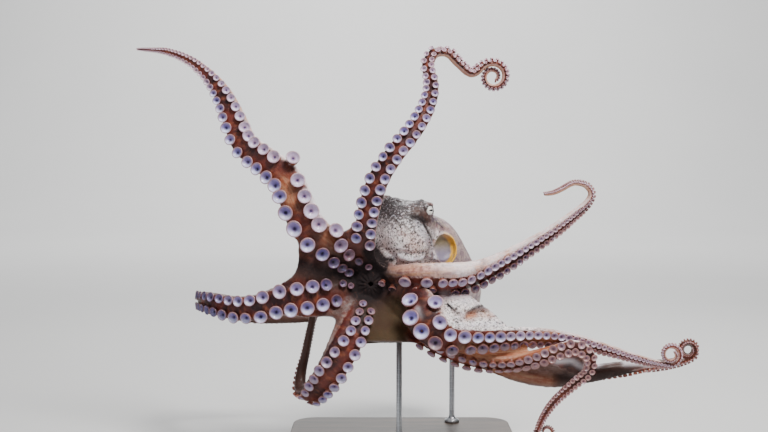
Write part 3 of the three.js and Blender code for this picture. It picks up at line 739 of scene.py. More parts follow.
def carved_bmesh():
    """What is cut out: sockets, eye slits, the mantle's opening, the funnel and the mouth."""
    bm = bmesh.new()
    for eye in EYES.values():
        centre, gaze = at(eye["centre"]), Vector(eye["gaze"]).normalized()
        ellipsoid(bm, centre, (EYE_RADIUS * MM + 0.1 * MM,) * 3)
        ellipsoid(bm, centre + gaze * EYE_RADIUS * MM, at(EYE_SLIT), facing_axes(gaze))
    width, depth, height = APERTURE["size"]
    ellipsoid(bm, at(APERTURE["centre"]), at((width, height, depth)),
              facing_axes(APERTURE["facing"]))
    tube = Line([Vector(p) for p in FUNNEL["route"]])
    ellipsoid(bm, Vector(tube.centre[-1]), at((FUNNEL["bore"], FUNNEL["bore"], 13)),
              facing_axes(tube.out[-1]))
    ellipsoid(bm, at(MOUTH_HOLE["centre"]), at(MOUTH_HOLE["size"]))
    return bm


def sculpted(piece):
    """Pushes the skin out and in: folds, wrinkles across the arms and papillae on the head."""
    mesh = piece.data
    places, normals = points_of(mesh), normals_of(mesh)
    push = np.zeros(len(places))
    for route, radius, height in SKIN_FOLDS:
        push += height * MM * np.exp(-((near(places, route) / (radius * MM)) ** 2))
    count, height, middle, spread = MOUTH_PLEATS
    away = (places - np.array(MOUTH_HOLE["centre"]) * MM) / MM
    ring = np.hypot(away[:, 0], away[:, 2])
    pleats = np.cos(count * np.arctan2(away[:, 2], away[:, 0])) * height * MM
    push += pleats * np.exp(-(((ring - middle) / spread) ** 2)) * (away[:, 1] < 12)
    field = arm_field(places)
    head = smoothstep(1.45, 1.2, head_share(places)) * (1 - field["arm"])
    body = 1 - field["arm"]
    rough = noise_at(places, 150)
    fine = noise_at(places, 420)
    push += MM * head * (0.9 * np.abs(rough) + 0.8 * np.clip(fine - 0.1, 0, 1))
    push += MM * body * 0.5 * noise_at(places * (1, 1, 1.6), 90)
    across = np.stack([field["along"] * 1.0, field["across"] * 0.012, field["front"] * 0.012], 1)
    wrinkle = noise_at(across + 3 * field["index"][:, None], 260)
    depth = 0.016 * field["width"] * field["arm"]
    push += depth * (wrinkle + 0.6 * noise_at(places, 240))
    places = places + normals * push[:, None]
    margin = BOX_MARGIN * MM
    places = np.clip(places, np.array(CAD_BOX[0]) + margin, np.array(CAD_BOX[1]) - margin)
    mesh.vertices.foreach_set("co", places.ravel())
    mesh.update()


def points_of(mesh):
    """The mesh's corners as an array of points."""
    places = np.empty(len(mesh.vertices) * 3, np.float32)
    mesh.vertices.foreach_get("co", places)
    return places.reshape(-1, 3).astype(float)


def normals_of(mesh):
    """The way out at each of the mesh's corners."""
    normals = np.empty(len(mesh.vertices) * 3, np.float32)
    mesh.vertex_normals.foreach_get("vector", normals)
    return normals.reshape(-1, 3).astype(float)


def noise_at(places, scale):
    """Smooth noise between -1 and 1 at some places, in features per metre."""
    return np.array([noise.noise(p) for p in (places * scale).tolist()])


def head_share(places):
    """How far out places are from the head's centre, 1 being its plain ellipsoid."""
    centre = np.array(HEAD["centre"]) * MM
    return np.linalg.norm((places - centre) / (np.array(HEAD["size"]) * MM), axis=-1)


ARM_STATIONS = {}


def arm_stations():
    """Stations close together along every arm, with a tree to look them up in."""
    if ARM_STATIONS:
        return ARM_STATIONS
    columns = []
    for index, arm in enumerate(ARM_LINES.values()):
        distance = np.arange(0, arm.length, STATION_GAP * MM)
        centre, out, oral, side, width = arm.station(distance)
        ones = np.ones((len(distance), 1))
        columns.append(np.hstack([
            centre, out, oral, side, width[:, None], distance[:, None], ones * index,
            ones * arm.length]))
    rows = np.vstack(columns)
    tree = kdtree.KDTree(len(rows))
    for k, centre in enumerate(rows[:, :3].tolist()):
        tree.insert(centre, k)
    tree.balance()
    ARM_STATIONS.update(rows=rows, tree=tree)
    return ARM_STATIONS


def arm_field(places):
    """Where places lie on the nearest arm: along it, across it and in front of it."""
    found = arm_stations()
    tree, rows = found["tree"], found["rows"]
    nearest = rows[[tree.find(p)[1] for p in places.tolist()]]
    away = places - nearest[:, :3]
    out, oral, side = nearest[:, 3:6], nearest[:, 6:9], nearest[:, 9:12]
    half = nearest[:, 12] / 2
    on = np.sum(away * out, axis=1)
    front = np.sum(away * oral, axis=1) / half
    across = np.sum(away * side, axis=1) / half
    reach = np.hypot(front, across)
    return {
        "arm": smoothstep(1.35, 1.0, reach),
        "along": nearest[:, 13] + on,
        "share": (nearest[:, 13] + on) / nearest[:, 15],
        "front": front,
        "across": across,
        "width": nearest[:, 12],
        "index": nearest[:, 14],
        "oral_way": oral,
    }


def in_opening(places):
    """How far places are inside the mantle's opening, and how far on its gold lip."""
    turn = np.array(facing_axes(APERTURE["facing"]))
    local = (places - np.array(APERTURE["centre"]) * MM) @ turn / MM
    width, depth, height = APERTURE["size"]
    reach = np.hypot(local[:, 0] / width, local[:, 1] / height)
    deep = smoothstep(depth + 4, depth, np.abs(local[:, 2]))
    right = np.hypot((local[:, 0] + 2.6) / width, local[:, 1] / height)
    lip = smoothstep(0.88, 0.95, right) * smoothstep(1.2, 1.12, reach)
    gold = lip * smoothstep(22, 17, np.abs(local[:, 2])) * smoothstep(-3, 3, local[:, 0])
    return smoothstep(1.04, 0.97, reach) * deep, gold


def marked(piece):
    """Gives the skin the attributes that its colours follow."""
    mesh = piece.data
    places, normals = points_of(mesh), normals_of(mesh)
    field = arm_field(places)
    on_arm = field["arm"]
    way = np.sum(normals * field["oral_way"], axis=1)
    head = smoothstep(1.5, 1.25, head_share(places)) * (1 - on_arm)
    far = near(places, MANTLE["route"])
    on_mantle = smoothstep(0.064, 0.058, far) * (1 - head) * (1 - on_arm)
    web = (1 - on_arm) * (1 - head) * (1 - on_mantle)
    # Painted light: skin that faces up and to the right, towards the key light, takes the pale back
    # colour in place of the red.
    lit = 0.3 * smoothstep(0.1, 0.7, normals @ (0.55, 0, 0.83))
    order = list(ARM_LINES)
    above = field["across"] - np.interp(field["along"], *zip(*PALE_FLANK))
    lit += 1.2 * smoothstep(-0.04, 0.14, above) * (field["index"] == order.index("arm_left_1"))
    arm_oral = smoothstep(-0.12, 0.12, field["front"] - lit) * on_arm
    web_oral = smoothstep(-0.2, 0.25, way) * web
    x, y, z = places.T
    mound = smoothstep(0.045, 0.06, x) * smoothstep(0.17, 0.184, z) * (1 - head)
    mound *= (1 - on_mantle) * smoothstep(-0.055, -0.065, y) * (1 - arm_oral)
    mound *= smoothstep(0.234, 0.224, z)
    olive = smoothstep(-0.058, -0.046, x) * smoothstep(0.016, -0.002, x) * (1 - head)
    olive *= smoothstep(0.23, 0.216, z) * smoothstep(0.0, -0.02, y)
    inside, gold = in_opening(places)
    values = {name: np.zeros(len(places)) for name in ATTRIBUTES}
    values["oral"] = np.clip(arm_oral + web_oral * (1 - mound), 0, 1)
    values["speck"] = np.clip(head + 0.9 * mound + 0.35 * on_mantle, 0, 1) * (1 - inside)
    values["grey"] = head * smoothstep(0.298, 0.338, z + 0.25 * np.maximum(x, 0))
    values["olive"] = olive
    values["purple"] = on_mantle * 0.75
    values["bowl"] = inside
    values["gold"] = gold
    dusk = np.isin(field["index"], [order.index(name) for name in DUSKY_ARMS])
    outside = (1 - arm_oral) * on_arm
    body = (1 - on_mantle) * (1 - head)
    values["brown"] = dusk * (1 - arm_oral) * (1 - olive) * body * 0.85
    values["brown"] = np.maximum(values["brown"], dusk * outside * (field["share"] > 0.5))
    right = np.isin(field["index"], [k for k, name in enumerate(order) if "right" in name])
    beyond = field["share"] - np.where(right, *RUSTY_FROM)
    values["rust"] = 0.8 * smoothstep(0, 0.15, beyond) * outside * (1 - dusk)
    flat = places * (1, BRUSH_DEPTH, 1)
    front = smoothstep(0.3, -0.1, normals[:, 1])
    for name, strokes in BRUSHES.items():
        for route, radius, strength in strokes:
            route = [(x, BRUSH_DEPTH * y, z) for x, y, z in route]
            stroke = strength * np.exp(-((near(flat, route) / (radius * MM)) ** 2))
            values[name] = np.maximum(values[name], np.minimum(stroke, 1) * front)
    root = np.linalg.norm(places - np.array(MOUTH["centre"]) * MM, axis=1)
    outer = smoothstep(0.05, 0.075, root)
    for shape in WEBS[:-1]:
        rim = web_places(*shape)[-1, ::3] / MM
        stroke = 0.6 * np.exp(-((near(places, rim) / (1.5 * MM)) ** 2)) * outer
        values["pale"] = np.maximum(values["pale"], stroke * (1 - on_arm) * (1 - 0.5 * olive))
    for name in ("along", "across", "front"):
        values[name] = field[name]
    for name, column in values.items():
        layer = mesh.attributes.new(name, "FLOAT", "POINT")
        layer.data.foreach_set("value", column.astype(np.float32))


def softened(piece):
    """Smooths the joins of head, mantle and crown, and leaves the arms alone."""
    group = piece.vertex_groups.new(name="soft")
    field = arm_field(points_of(piece.data))
    weight = 1 - field["arm"] * smoothstep(0.02, 0.05, field["along"])
    steps = np.round(weight * SOFT_LEVELS).astype(int)
    for level in range(1, SOFT_LEVELS + 1):
        group.add(np.nonzero(steps == level)[0].tolist(), level / SOFT_LEVELS, "REPLACE")
    shaped(piece, (
        "SMOOTH", {"factor": 0.5, "iterations": JOIN_ROUNDS, "vertex_group": "soft"}))
    piece.vertex_groups.clear()


def build_skin(voxel, most):
    """The whole skin as one closed mesh."""
    remesh = ("REMESH", {"mode": "VOXEL", "voxel_size": voxel})
    fine_remesh = ("REMESH", {"mode": "VOXEL", "voxel_size": DETAIL_VOXEL * MM})
    skin = new_piece("skin", body_bmesh())
    shaped(skin, remesh)
    softened(skin)
    added = shaped(new_piece("added", added_bmesh()), fine_remesh)
    carved = shaped(new_piece("carved", carved_bmesh()), fine_remesh)
    shaped(
        skin,
        ("BOOLEAN", {"operation": "UNION", "object": added, "solver": "MANIFOLD"}),
        ("BOOLEAN", {"operation": "DIFFERENCE", "object": carved, "solver": "MANIFOLD"}),
        remesh,
    )
    discard(added, carved)
    sculpted(skin)
    triangles = 2 * len(skin.data.polygons)
    if triangles > most:
        shaped(skin, ("DECIMATE", {"ratio": most / triangles}))
    marked(skin)
    smooth_shaded(skin)
    return skin


# ---- Suckers ---------------------------------------------------------------------------------

# The suckers of each arm: where the first one sits, their diameter over the arm's width, the
# gap between the centres of a row over the diameter, how far both rows are shifted across in
# arm widths and how far apart they are over the room there is, all three by the distance out,
# how pale and how warm each of the two rows is, where in metres the second one's warmth
# starts, how much paler they are far out, how large the first ones are at least and how far
# in degrees each row leans outwards.
# A row's paleness stands for painted light on rows that face the light, and its warmth for a warm
# painted shade on rows that face down and on rows in shade; the suckers by the mouth get that shade
# too.
SUCKER_ROWS = {
    "arm_right_1": {"start": 39, "size": [(0, 0.43)], "pitch": [(0, 1.06)], "root": 13,
                    "shift": [(0, 0.03)], "spread": [(400, 1), (460, 0.7)], "first": -1,
                    "pale": (0.0, 0.1), "warm": (0.1, 0.25)},
    "arm_right_2": {"start": 3, "size": [(0, 0.385)], "pitch": [(0, 1.02)], "root": 13,
                    "shift": [(40, -0.03), (120, 0.05)], "spread": [(50, 0.8), (120, 1)],
                    "pale": (0, 0.6), "warm": (0.1, 0.1)},
    "arm_right_3": {"start": 33, "size": [(0, 0.41)], "pitch": [(0, 1.07)], "root": 13,
                    "shift": [(0, 0)], "pale": (0.0, 0.1), "warm": (0.1, 0.2)},
    "arm_right_4": {"start": 19, "size": [(0, 0.33)], "pitch": [(0, 1.05)], "root": 11,
                    "shift": [(20, 0.16), (60, 0.14), (90, 0.07), (120, 0.02)],
                    "spread": [(20, 0.6), (60, 0.65), (90, 0.85), (120, 1)], "first": -1,
                    "pale": (0.1, 0.2), "warm": (0.3, 0.4)},
    "arm_left_1": {"start": 94, "size": [(0, 0.3), (100, 0.27), (150, 0.33), (200, 0.36)],
                   "pitch": [(0, 0.88), (150, 0.93)], "root": 13,
                   "shift": [(110, -0.12), (150, -0.02), (200, 0)],
                   "spread": [(110, 0.615), (150, 0.85), (200, 0.75)],
                   "pale": (0.45, 0.0), "warm": (0.1, 1.0), "lean": (8, -10), "far": (0.2, 0)},
    "arm_left_2": {"start": 141, "size": [(0, 0.42)], "pitch": [(0, 0.96)], "root": 13,
                   "shift": [(0, 0)], "far": (0.5, 0.3),
                   "spread": [(120, 0.85), (200, 0.8), (260, 1), (400, 0.8), (450, 0.55)],
                   "pale": (0.1, 0.0), "warm": (0.0, 1.0), "warm_from": 0.1},
    "arm_left_3": {"start": 79, "size": [(180, 0.38), (240, 0.49), (320, 0.47), (390, 0.38)],
                   "pitch": [(110, 1.3), (190, 1.0)], "far": (0.6, 0.6),
                   "root": 13, "shift": [(0, 0)], "first": -1,
                   "pale": (0.1, 0.2), "warm": (0.8, 1.0)},
    "arm_left_4": {"start": 130, "size": [(0, 0.27)], "pitch": [(0, 1.05)], "root": 8,
                   "shift": [(0, 0)], "spread": [(0, 0.5), (320, 0.5), (380, 0.9)],
                   "pale": (0.3, 0.3), "warm": (0.7, 0.7)},
}
# Suckers set one by one: distance out, place across in arm widths, diameter, outward lean and
# how far they stand out of the skin.
STRAY_SUCKERS = {
    "arm_right_1": [(15, 0.25, 12, 8, 1), (5, -0.2, 9.5, 8, 1)],
    "arm_right_2": [(166, -0.57, 19, 16, 0), (58, -0.47, 20, 16, 0)],
    "arm_right_3": [(18, -0.22, 11, 6, 1), (8, -0.05, 8.5, 6, 2)],
    "arm_left_1": [
        (37, 0.16, 17, 6, 1), (63, 0.155, 16.5, 6, 1), (82, 0.13, 14.5, 8, 1),
        (70, -0.14, 12, 10, 2), (49, -0.14, 11, 8, 3), (16, -0.2, 12, 6, 5), (3, 0.1, 11, 4, 6),
    ],
    "arm_left_2": [
        (55, -0.27, 22.5, 3, 0), (77, -0.3, 22.5, 4, 0), (69, 0.33, 22, 5, 0),
        (91, -0.22, 21, 6, 0), (97, 0.26, 20.5, 6, 0), (108, -0.2, 20, 6, 0),
        (119, 0.2, 19, 8, 0), (127, -0.25, 18, 8, 0),
    ],
}
# Of the space that two suckers need, the share that keeps them apart on one arm and on two.
SUCKER_ROOM = (0.43, 0.4)
SUCKER_LEAST = 0.9
ROOT_REACH = 60  # how far out the least size of the first suckers counts
# Where the suckers lie in the shade: the middle, and the distances where it starts and ends.
DUSK = [((-78, -70, 252), 70, 28), ((-262, -24, 206), 84, 30)]
# A sucker's profile: distance from its axis, height over its rim and the shade it takes, from
# 0 at the pit through 1 at the rim to 2 at the foot. Lengths are in diameters.
SUCKER_PROFILE = [
    (0.0, -0.36, 0.0), (0.05, -0.35, 0.02), (0.08, -0.28, 0.08), (0.12, -0.24, 0.17),
    (0.2, -0.225, 0.3), (0.28, -0.19, 0.46), (0.35, -0.125, 0.64), (0.4, -0.05, 0.82),
    (0.44, -0.005, 0.98), (0.48, -0.012, 1.08), (0.5, -0.065, 1.2), (0.485, -0.14, 1.38),
    (0.42, -0.225, 1.6), (0.36, -0.31, 1.85), (0.34, -0.42, 2.0), (0.35, -0.6, 2.0),
]
# The smallest diameter in millimetres that a level of detail is for, its turns and the rows
# of the profile that it keeps.
SUCKER_LEVELS = [
    (9.0, 22, tuple(range(len(SUCKER_PROFILE)))),
    (4.0, 14, (0, 2, 3, 5, 7, 8, 10, 12, 15)),
    (0.0, 8, (0, 3, 6, 8, 11, 15)),
]


def sucker_mesh(turns, rows):
    """One sucker of diameter 1 with its rim at z = 0, as a mesh."""
    bm = bmesh.new()
    shade = bm.verts.layers.float.new("shade")
    verts = []
    for row in rows:
        radius, height, tone = SUCKER_PROFILE[row]
        vert = bm.verts.new((radius, 0, height))
        vert[shade] = tone
        verts.append(vert)
    edges = [bm.edges.new(pair) for pair in zip(verts, verts[1:])]
    bmesh.ops.spin(bm, geom=verts + edges, cent=(0, 0, 0), axis=(0, 0, 1),
                   angle=2 * math.pi, steps=turns, use_merge=True)
    bmesh.ops.remove_doubles(bm, verts=bm.verts, dist=1e-5)
    bmesh.ops.recalc_face_normals(bm, faces=bm.faces)
    rim = max(bm.faces, key=lambda face: face.calc_center_median().z)
    if rim.normal.z < 0:
        bmesh.ops.reverse_faces(bm, faces=bm.faces)
    mesh = bpy.data.meshes.new("sucker")
    bm.to_mesh(mesh)
    bm.free()
    return mesh


def sucker_places(name):
    """An arm's suckers: distance, row, place across, diameter, lean and lift, strays first."""
    arm, row_of = ARM_LINES[name], SUCKER_ROWS[name]
    places = []
    for distance, across, diameter, lean, lift in STRAY_SUCKERS.get(name, []):
        width = float(arm.station(distance * MM)[4])
        lean = math.copysign(lean, across)
        places.append((distance * MM, 0, across * width, diameter * MM, lean, lift * MM))
    distance, row = row_of["start"] * MM, row_of.get("first", 1)
    leans = row_of.get("lean", (8, 8))
    while distance < arm.length - 0.4 * MM:
        width = float(arm.station(distance)[4])
        size, pitch, shift, spread = (
            np.interp(distance / MM, *zip(*row_of.get(key, [(0, 1)])))
            for key in ("size", "pitch", "shift", "spread"))
        diameter = min(size * width, SUCKER_LARGEST * MM)
        if distance < ROOT_REACH * MM:
            diameter = max(diameter, row_of["root"] * MM)
        if diameter > SUCKER_LEAST * MM:
            across = row * (width - diameter) / 2 * spread + shift * width
            lean = leans[0] if row > 0 else -leans[1]
            places.append((distance, row, across, diameter, lean, 0))
        distance += pitch * diameter / 2
        row = -row
    return places


def kept_inside(bm, verts):
    """Moves a sucker that would stand out of the octopus's box back into it."""
    margin = BOX_MARGIN * MM
    for axis in range(3):
        spread = [vert.co[axis] for vert in verts]
        under = max(CAD_BOX[0][axis] + margin - min(spread), 0)
        over = max(max(spread) + margin - CAD_BOX[1][axis], 0)
        if under or over:
            push = Vector()
            push[axis] = under - over
            bmesh.ops.translate(bm, verts=verts, vec=push)


def build_suckers(name, taken, levels):
    """All suckers of one arm as one mesh."""
    arm, row_of = ARM_LINES[name], SUCKER_ROWS[name]
    pale, warmth, far = row_of["pale"], row_of["warm"], row_of.get("far", (0, 0))
    warm_from = row_of.get("warm_from", 0)
    chance = random.Random(name)
    bm = bmesh.new()
    layers = {key: bm.verts.layers.float.new(key)
              for key in ("shade", "pallor", "warm", "low", "dusk")}
    for distance, row, across, diameter, lean, lift in sucker_places(name):
        centre, out, oral, side, width = arm.station(distance)
        lean = math.radians(lean * chance.uniform(0.4, 1.6))
        nod = math.radians(chance.uniform(-7, 7))
        size = diameter * chance.uniform(0.93, 1.05)
        stretch = chance.uniform(0.95, 1.04)
        place = Vector(centre) + Vector(side) * across
        place += Vector(oral) * (FLESH_FRONT * width + SUCKER_RISE * diameter + lift)
        clash = any(
            (place - other).length < SUCKER_ROOM[owner != name] * (size + spread)
            for other, spread, owner, of_row in taken
            if owner != name or 0 in (row, of_row))
        if clash:
            continue
        taken.append((place, size, name, row))
        axes = Matrix((out, side, oral)).transposed().to_4x4()
        axes = axes @ Matrix.Rotation(-lean, 4, "X") @ Matrix.Rotation(nod, 4, "Y")
        sizes = Matrix.Diagonal((size * stretch, size / stretch, size, 1))
        mesh = next(m for least, m in levels if diameter >= least * MM)
        first = len(bm.verts)
        bm.from_mesh(mesh)
        bm.verts.ensure_lookup_table()
        verts = bm.verts[first:]
        bmesh.ops.transform(bm, matrix=Matrix.Translation(place) @ axes @ sizes, verts=verts)
        kept_inside(bm, verts)
        small = float(smoothstep(0.012, 0.006, diameter))
        # Pallor: partly painted light from the row's paleness, with smaller suckers and those far
        # out paler, and some at random.
        pallor = max(small, pale[0] if across > 0 else pale[1]) + chance.uniform(-0.12, 0.14)
        pallor += (far[0] if across > 0 else far[1]) * float(smoothstep(0.17, 0.23, distance))
        root = float(smoothstep(0.05, 0.02, distance))
        # Warmth: a warm painted shade on the row, stronger by the mouth and a little on small
        # suckers.
        warm = warmth[0] if across > 0 or distance < warm_from else warmth[1]
        warm += 0.8 * root + 0.3 * small
        warm = min(warm + chance.uniform(0, 0.25), 1.0)
        dusk = max(float(smoothstep(start, end, (place - Vector(at(middle))).length / MM))
                   for middle, start, end in DUSK)
        for vert in verts:
            vert[layers["pallor"]] = min(max(pallor, 0), 1)
            vert[layers["warm"]] = warm
            vert[layers["dusk"]] = dusk
            # How far below the sucker's middle each corner lies, for the painted light on the cup's
            # lower wall and the painted shade on its upper rim.
            vert[layers["low"]] = (place.z - vert.co.z) / size
    piece = new_piece(name.replace("arm", "suckers"), bm)
    smooth_shaded(piece)
    return piece


# ---- Finishes --------------------------------------------------------------------------------


class Value:
    """A shader socket that Python's arithmetic works on."""

    def __init__(self, finish, socket):
        self.finish = finish
        self.socket = socket

    def math(self, operation, first, second=0.0):
        """A Math node's result."""
        node = self.finish.node(
            "ShaderNodeMath", {"operation": operation}, {0: first, 1: second})
        return Value(self.finish, node.outputs[0])

    def __add__(self, other):
        return self.math("ADD", self, other)

    __radd__ = __add__

    def __sub__(self, other):
        return self.math("SUBTRACT", self, other)

    def __rsub__(self, other):
        return self.math("SUBTRACT", other, self)

    def __mul__(self, other):
        return self.math("MULTIPLY", self, other)

    __rmul__ = __mul__

    def __truediv__(self, other):
        return self.math("DIVIDE", self, other)

    def __pow__(self, other):
        return self.math("POWER", self, other)

    def __abs__(self):
        return self.math("ABSOLUTE", self)

    def step(self, low, high):
        """0 at low, 1 at high and a soft step between; low may be above high."""
        node = self.finish.node(
            "ShaderNodeMapRange", {"interpolation_type": "SMOOTHSTEP"},
            {"Value": self, "From Min": low, "From Max": high})
        return Value(self.finish, node.outputs[0])


class Finish:
    """A material under construction, with one principled shader."""

    def __init__(self, name, shader):
        self.material = bpy.data.materials.new(name)
        self.material.use_nodes = True
        self.tree = self.material.node_tree
        self.tree.nodes.clear()
        self.shader = self.node("ShaderNodeBsdfPrincipled", {}, shader)
        self.node("ShaderNodeOutputMaterial", {}, {"Surface": self.shader.outputs[0]})
        self.places = self.node("ShaderNodeTexCoord").outputs["Object"]

    def node(self, kind, settings=None, values=None):
        """A node of a type, with its settings and the values or links of its sockets."""
        node = self.tree.nodes.new(kind)
        for name, value in (settings or {}).items():
            if name == "stops":
                self.set_stops(node.color_ramp, value)
            else:
                setattr(node, name, value)
        for name, value in (values or {}).items():
            self.give(node.inputs[name], value)
        return node

    def give(self, socket, value):
        """Links or sets one input."""
        if isinstance(value, Value):
            value = value.socket
        if isinstance(value, bpy.types.NodeSocket):
            self.tree.links.new(value, socket)
        else:
            socket.default_value = value

    @staticmethod
    def set_stops(ramp, stops):
        """Gives a ramp its (place, colour) stops."""
        while len(ramp.elements) < len(stops):
            ramp.elements.new(1.0)
        for element, (place, colour) in zip(ramp.elements, stops):
            element.position = place
            element.color = colour

    def attribute(self, name):
        """One of the piece's own attributes."""
        node = self.node("ShaderNodeAttribute", {"attribute_name": name})
        return Value(self, node.outputs["Fac"])

    def height(self):
        """Height over the floor in metres."""
        node = self.node("ShaderNodeSeparateXYZ", {}, {0: self.places})
        return Value(self, node.outputs[2])

    def noise(self, scale, detail=2.0, roughness=0.5, vector=None):
        """Soft noise around one half, in features per metre."""
        node = self.node("ShaderNodeTexNoise", {}, {
            "Vector": vector or self.places, "Scale": scale, "Detail": detail,
            "Roughness": roughness})
        return Value(self, node.outputs["Fac"])

    def spots(self, scale, radius, share, vector=None):
        """Round spots, one in each chosen cell: 1 inside and 0 outside."""
        node = self.node("ShaderNodeTexVoronoi", {}, {
            "Vector": vector or self.places, "Scale": scale})
        chance = self.node("ShaderNodeSeparateColor", {}, {0: node.outputs["Color"]})
        inside = Value(self, node.outputs["Distance"]).step(radius, radius * 0.55)
        chosen = Value(self, chance.outputs[0]).step(1 - share, 1.02 - share)
        return inside * chosen

    def ragged(self, scale, amount):
        """Object coordinates pushed about, so that spots are not quite round."""
        node = self.node("ShaderNodeTexNoise", {}, {"Vector": self.places, "Scale": scale})
        push = self.node("ShaderNodeVectorMath", {"operation": "SCALE"}, {
            0: node.outputs["Color"], "Scale": amount})
        moved = self.node("ShaderNodeVectorMath", {"operation": "ADD"}, {
            0: self.places, 1: push.outputs[0]})
        return moved.outputs[0]

    def stretched(self, x, y, z):
        """A vector from three values."""
        return self.node("ShaderNodeCombineXYZ", {}, {0: x, 1: y, 2: z}).outputs[0]

    def mixed(self, share, first, second, way="MIX"):
        """A share of the second colour over the first."""
        node = self.node("ShaderNodeMix", {"data_type": "RGBA", "blend_type": way}, {
            0: share, 6: first, 7: second})
        return node.outputs[2]

    def ramp(self, value, stops):
        """A colour looked up along a ramp."""
        node = self.node("ShaderNodeValToRGB", {"stops": stops}, {0: value})
        return node.outputs[0]

    def bump(self, height, distance, strength=1.0):
        """Small relief from a height."""
        node = self.node("ShaderNodeBump", {}, {
            "Height": height, "Distance": distance, "Strength": strength})
        self.give(self.shader.inputs["Normal"], node.outputs[0])

    def paint(self, **sockets):
        """Feeds the shader's varying inputs."""
        names = {"colour": "Base Color", "roughness": "Roughness", "coat": "Coat Weight"}
        for name, value in sockets.items():
            self.give(self.shader.inputs[names[name]], value)


def skin_finish(colours):
    """Mottled octopus skin: deep red between the suckers, pale and speckled on the back."""
    finish = Finish("octopus_skin", {
        "Coat Roughness": 0.25, "Specular IOR Level": 0.32,
        "Subsurface Weight": 0.1, "Subsurface Scale": 0.004,
        "Subsurface Radius": (1.0, 0.35, 0.2)})
    oral, speck = finish.attribute("oral"), finish.attribute("speck")
    along, across = finish.attribute("along"), finish.attribute("across")
    front, grey = finish.attribute("front"), finish.attribute("grey")
    broad = finish.noise(34, 3)
    middle = finish.noise(120, 4, 0.6)
    fine = finish.noise(520, 3, 0.6)
    grain = finish.noise(330, 4, 0.72)
    ragged = finish.ragged(260, 0.004)
    wrinkles_at = finish.stretched(along * 150, across * 1.4, front * 1.4)
    wrinkles = finish.noise(1.0, 4, 0.6, wrinkles_at)
    lines_at = finish.stretched(along * 26, across * 7, front * 7)
    lines = finish.noise(1.0, 3, 0.6, lines_at)

    red = finish.mixed(broad.step(0.4, 0.62), colours.groove, colours.flesh)
    red = finish.mixed(wrinkles.step(0.48, 0.72) * 0.5, red, colours.stretched)

    back = finish.mixed(middle.step(0.42, 0.62), colours.back, colours.mottle)
    back = finish.mixed(grain.step(0.52, 0.66) * 0.55, back, colours.mottle)
    back = finish.mixed(lines.step(0.48, 0.62) * 0.7, back, colours.tan)
    threads_at = finish.stretched(along * 45, across * 16, front * 16)
    threads = finish.noise(1.0, 3, 0.6, threads_at)
    back = finish.mixed(threads.step(0.56, 0.64) * 0.5, back, colours.mottle)
    edge = front.step(-0.8, -0.1) * finish.noise(60, 2).step(0.3, 0.55)
    edge = edge * along.step(0.05, 0.1)
    back = finish.mixed(edge * 0.65, back, colours.edge)
    back = finish.mixed(lines.step(0.46, 0.36) * edge * 0.4, back, colours.pale)

    head = finish.mixed(middle.step(0.5, 0.7), colours.head, colours.head_shade)
    head = finish.mixed(broad.step(0.48, 0.68) * 0.4, head, colours.blush)
    head = finish.mixed(grey * 0.85, head, colours.grey)
    head = finish.mixed(grain.step(0.5, 0.36) * (0.35 + 0.2 * grey), head, colours.pale)
    head = finish.mixed((grain + 0.12 * grey).step(0.51, 0.58) * 0.85, head, colours.dark)
    body = finish.mixed(speck, back, head)
    mantle = finish.mixed(middle.step(0.42, 0.6), colours.mantle, colours.mantle_pale)
    body = finish.mixed(finish.attribute("purple"), body, mantle)

    colour = finish.mixed(oral, body, red)
    olive = finish.mixed(broad.step(0.4, 0.65), colours.web, colours.web_shade)
    colour = finish.mixed(finish.attribute("olive") * 0.92, colour, olive)
    # Brown: painted shade in the crown, at the roots and in the folds where the brown strokes lie,
    # and the darker arms' backs.
    colour = finish.mixed(finish.attribute("brown"), colour, colours.brown)
    rust = finish.mixed(lines.step(0.4, 0.6), colours.stretched, colours.tan)
    colour = finish.mixed(finish.attribute("rust"), colour, rust)
    height = finish.height().step(0.27, 0.292)
    bowl = finish.mixed(height, colours.slate, colours.khaki)
    colour = finish.mixed(finish.attribute("bowl"), colour, bowl)
    colour = finish.mixed(finish.attribute("gold"), colour, colours.gold)
    # Pale skin, and painted highlights on lit edges and folds where the pale strokes lie.
    colour = finish.mixed(finish.attribute("pale") * 0.85, colour, colours.pale)
    dots = finish.spots(250, 0.44, 0.6, ragged) * speck
    dots = dots * finish.noise(80, 2).step(0.32, 0.5)
    colour = finish.mixed(dots * 0.92, colour, colours.dark)
    small = finish.spots(620, 0.42, 0.5, ragged) * (0.15 + 0.6 * speck)
    colour = finish.mixed(small * (1 - oral), colour, colours.dark)
    # Painted shade where the dark strokes lie, broken up by noise.
    shadow = finish.attribute("dark") * (0.35 + finish.noise(190, 2)).step(0.35, 0.8)
    colour = finish.mixed(shadow, colour, colours.painted_shade)
    dull = 1 - (1 - finish.attribute("olive")) * (1 - shadow)
    finish.paint(colour=colour, roughness=0.4 + 0.22 * fine + 0.3 * dull,
                 coat=0.16 - 0.16 * dull)
    relief = 0.6 * fine + 0.6 * middle + 0.5 * wrinkles + 0.5 * grain * speck
    finish.bump(relief, 0.0011, 0.8)
    return finish.material


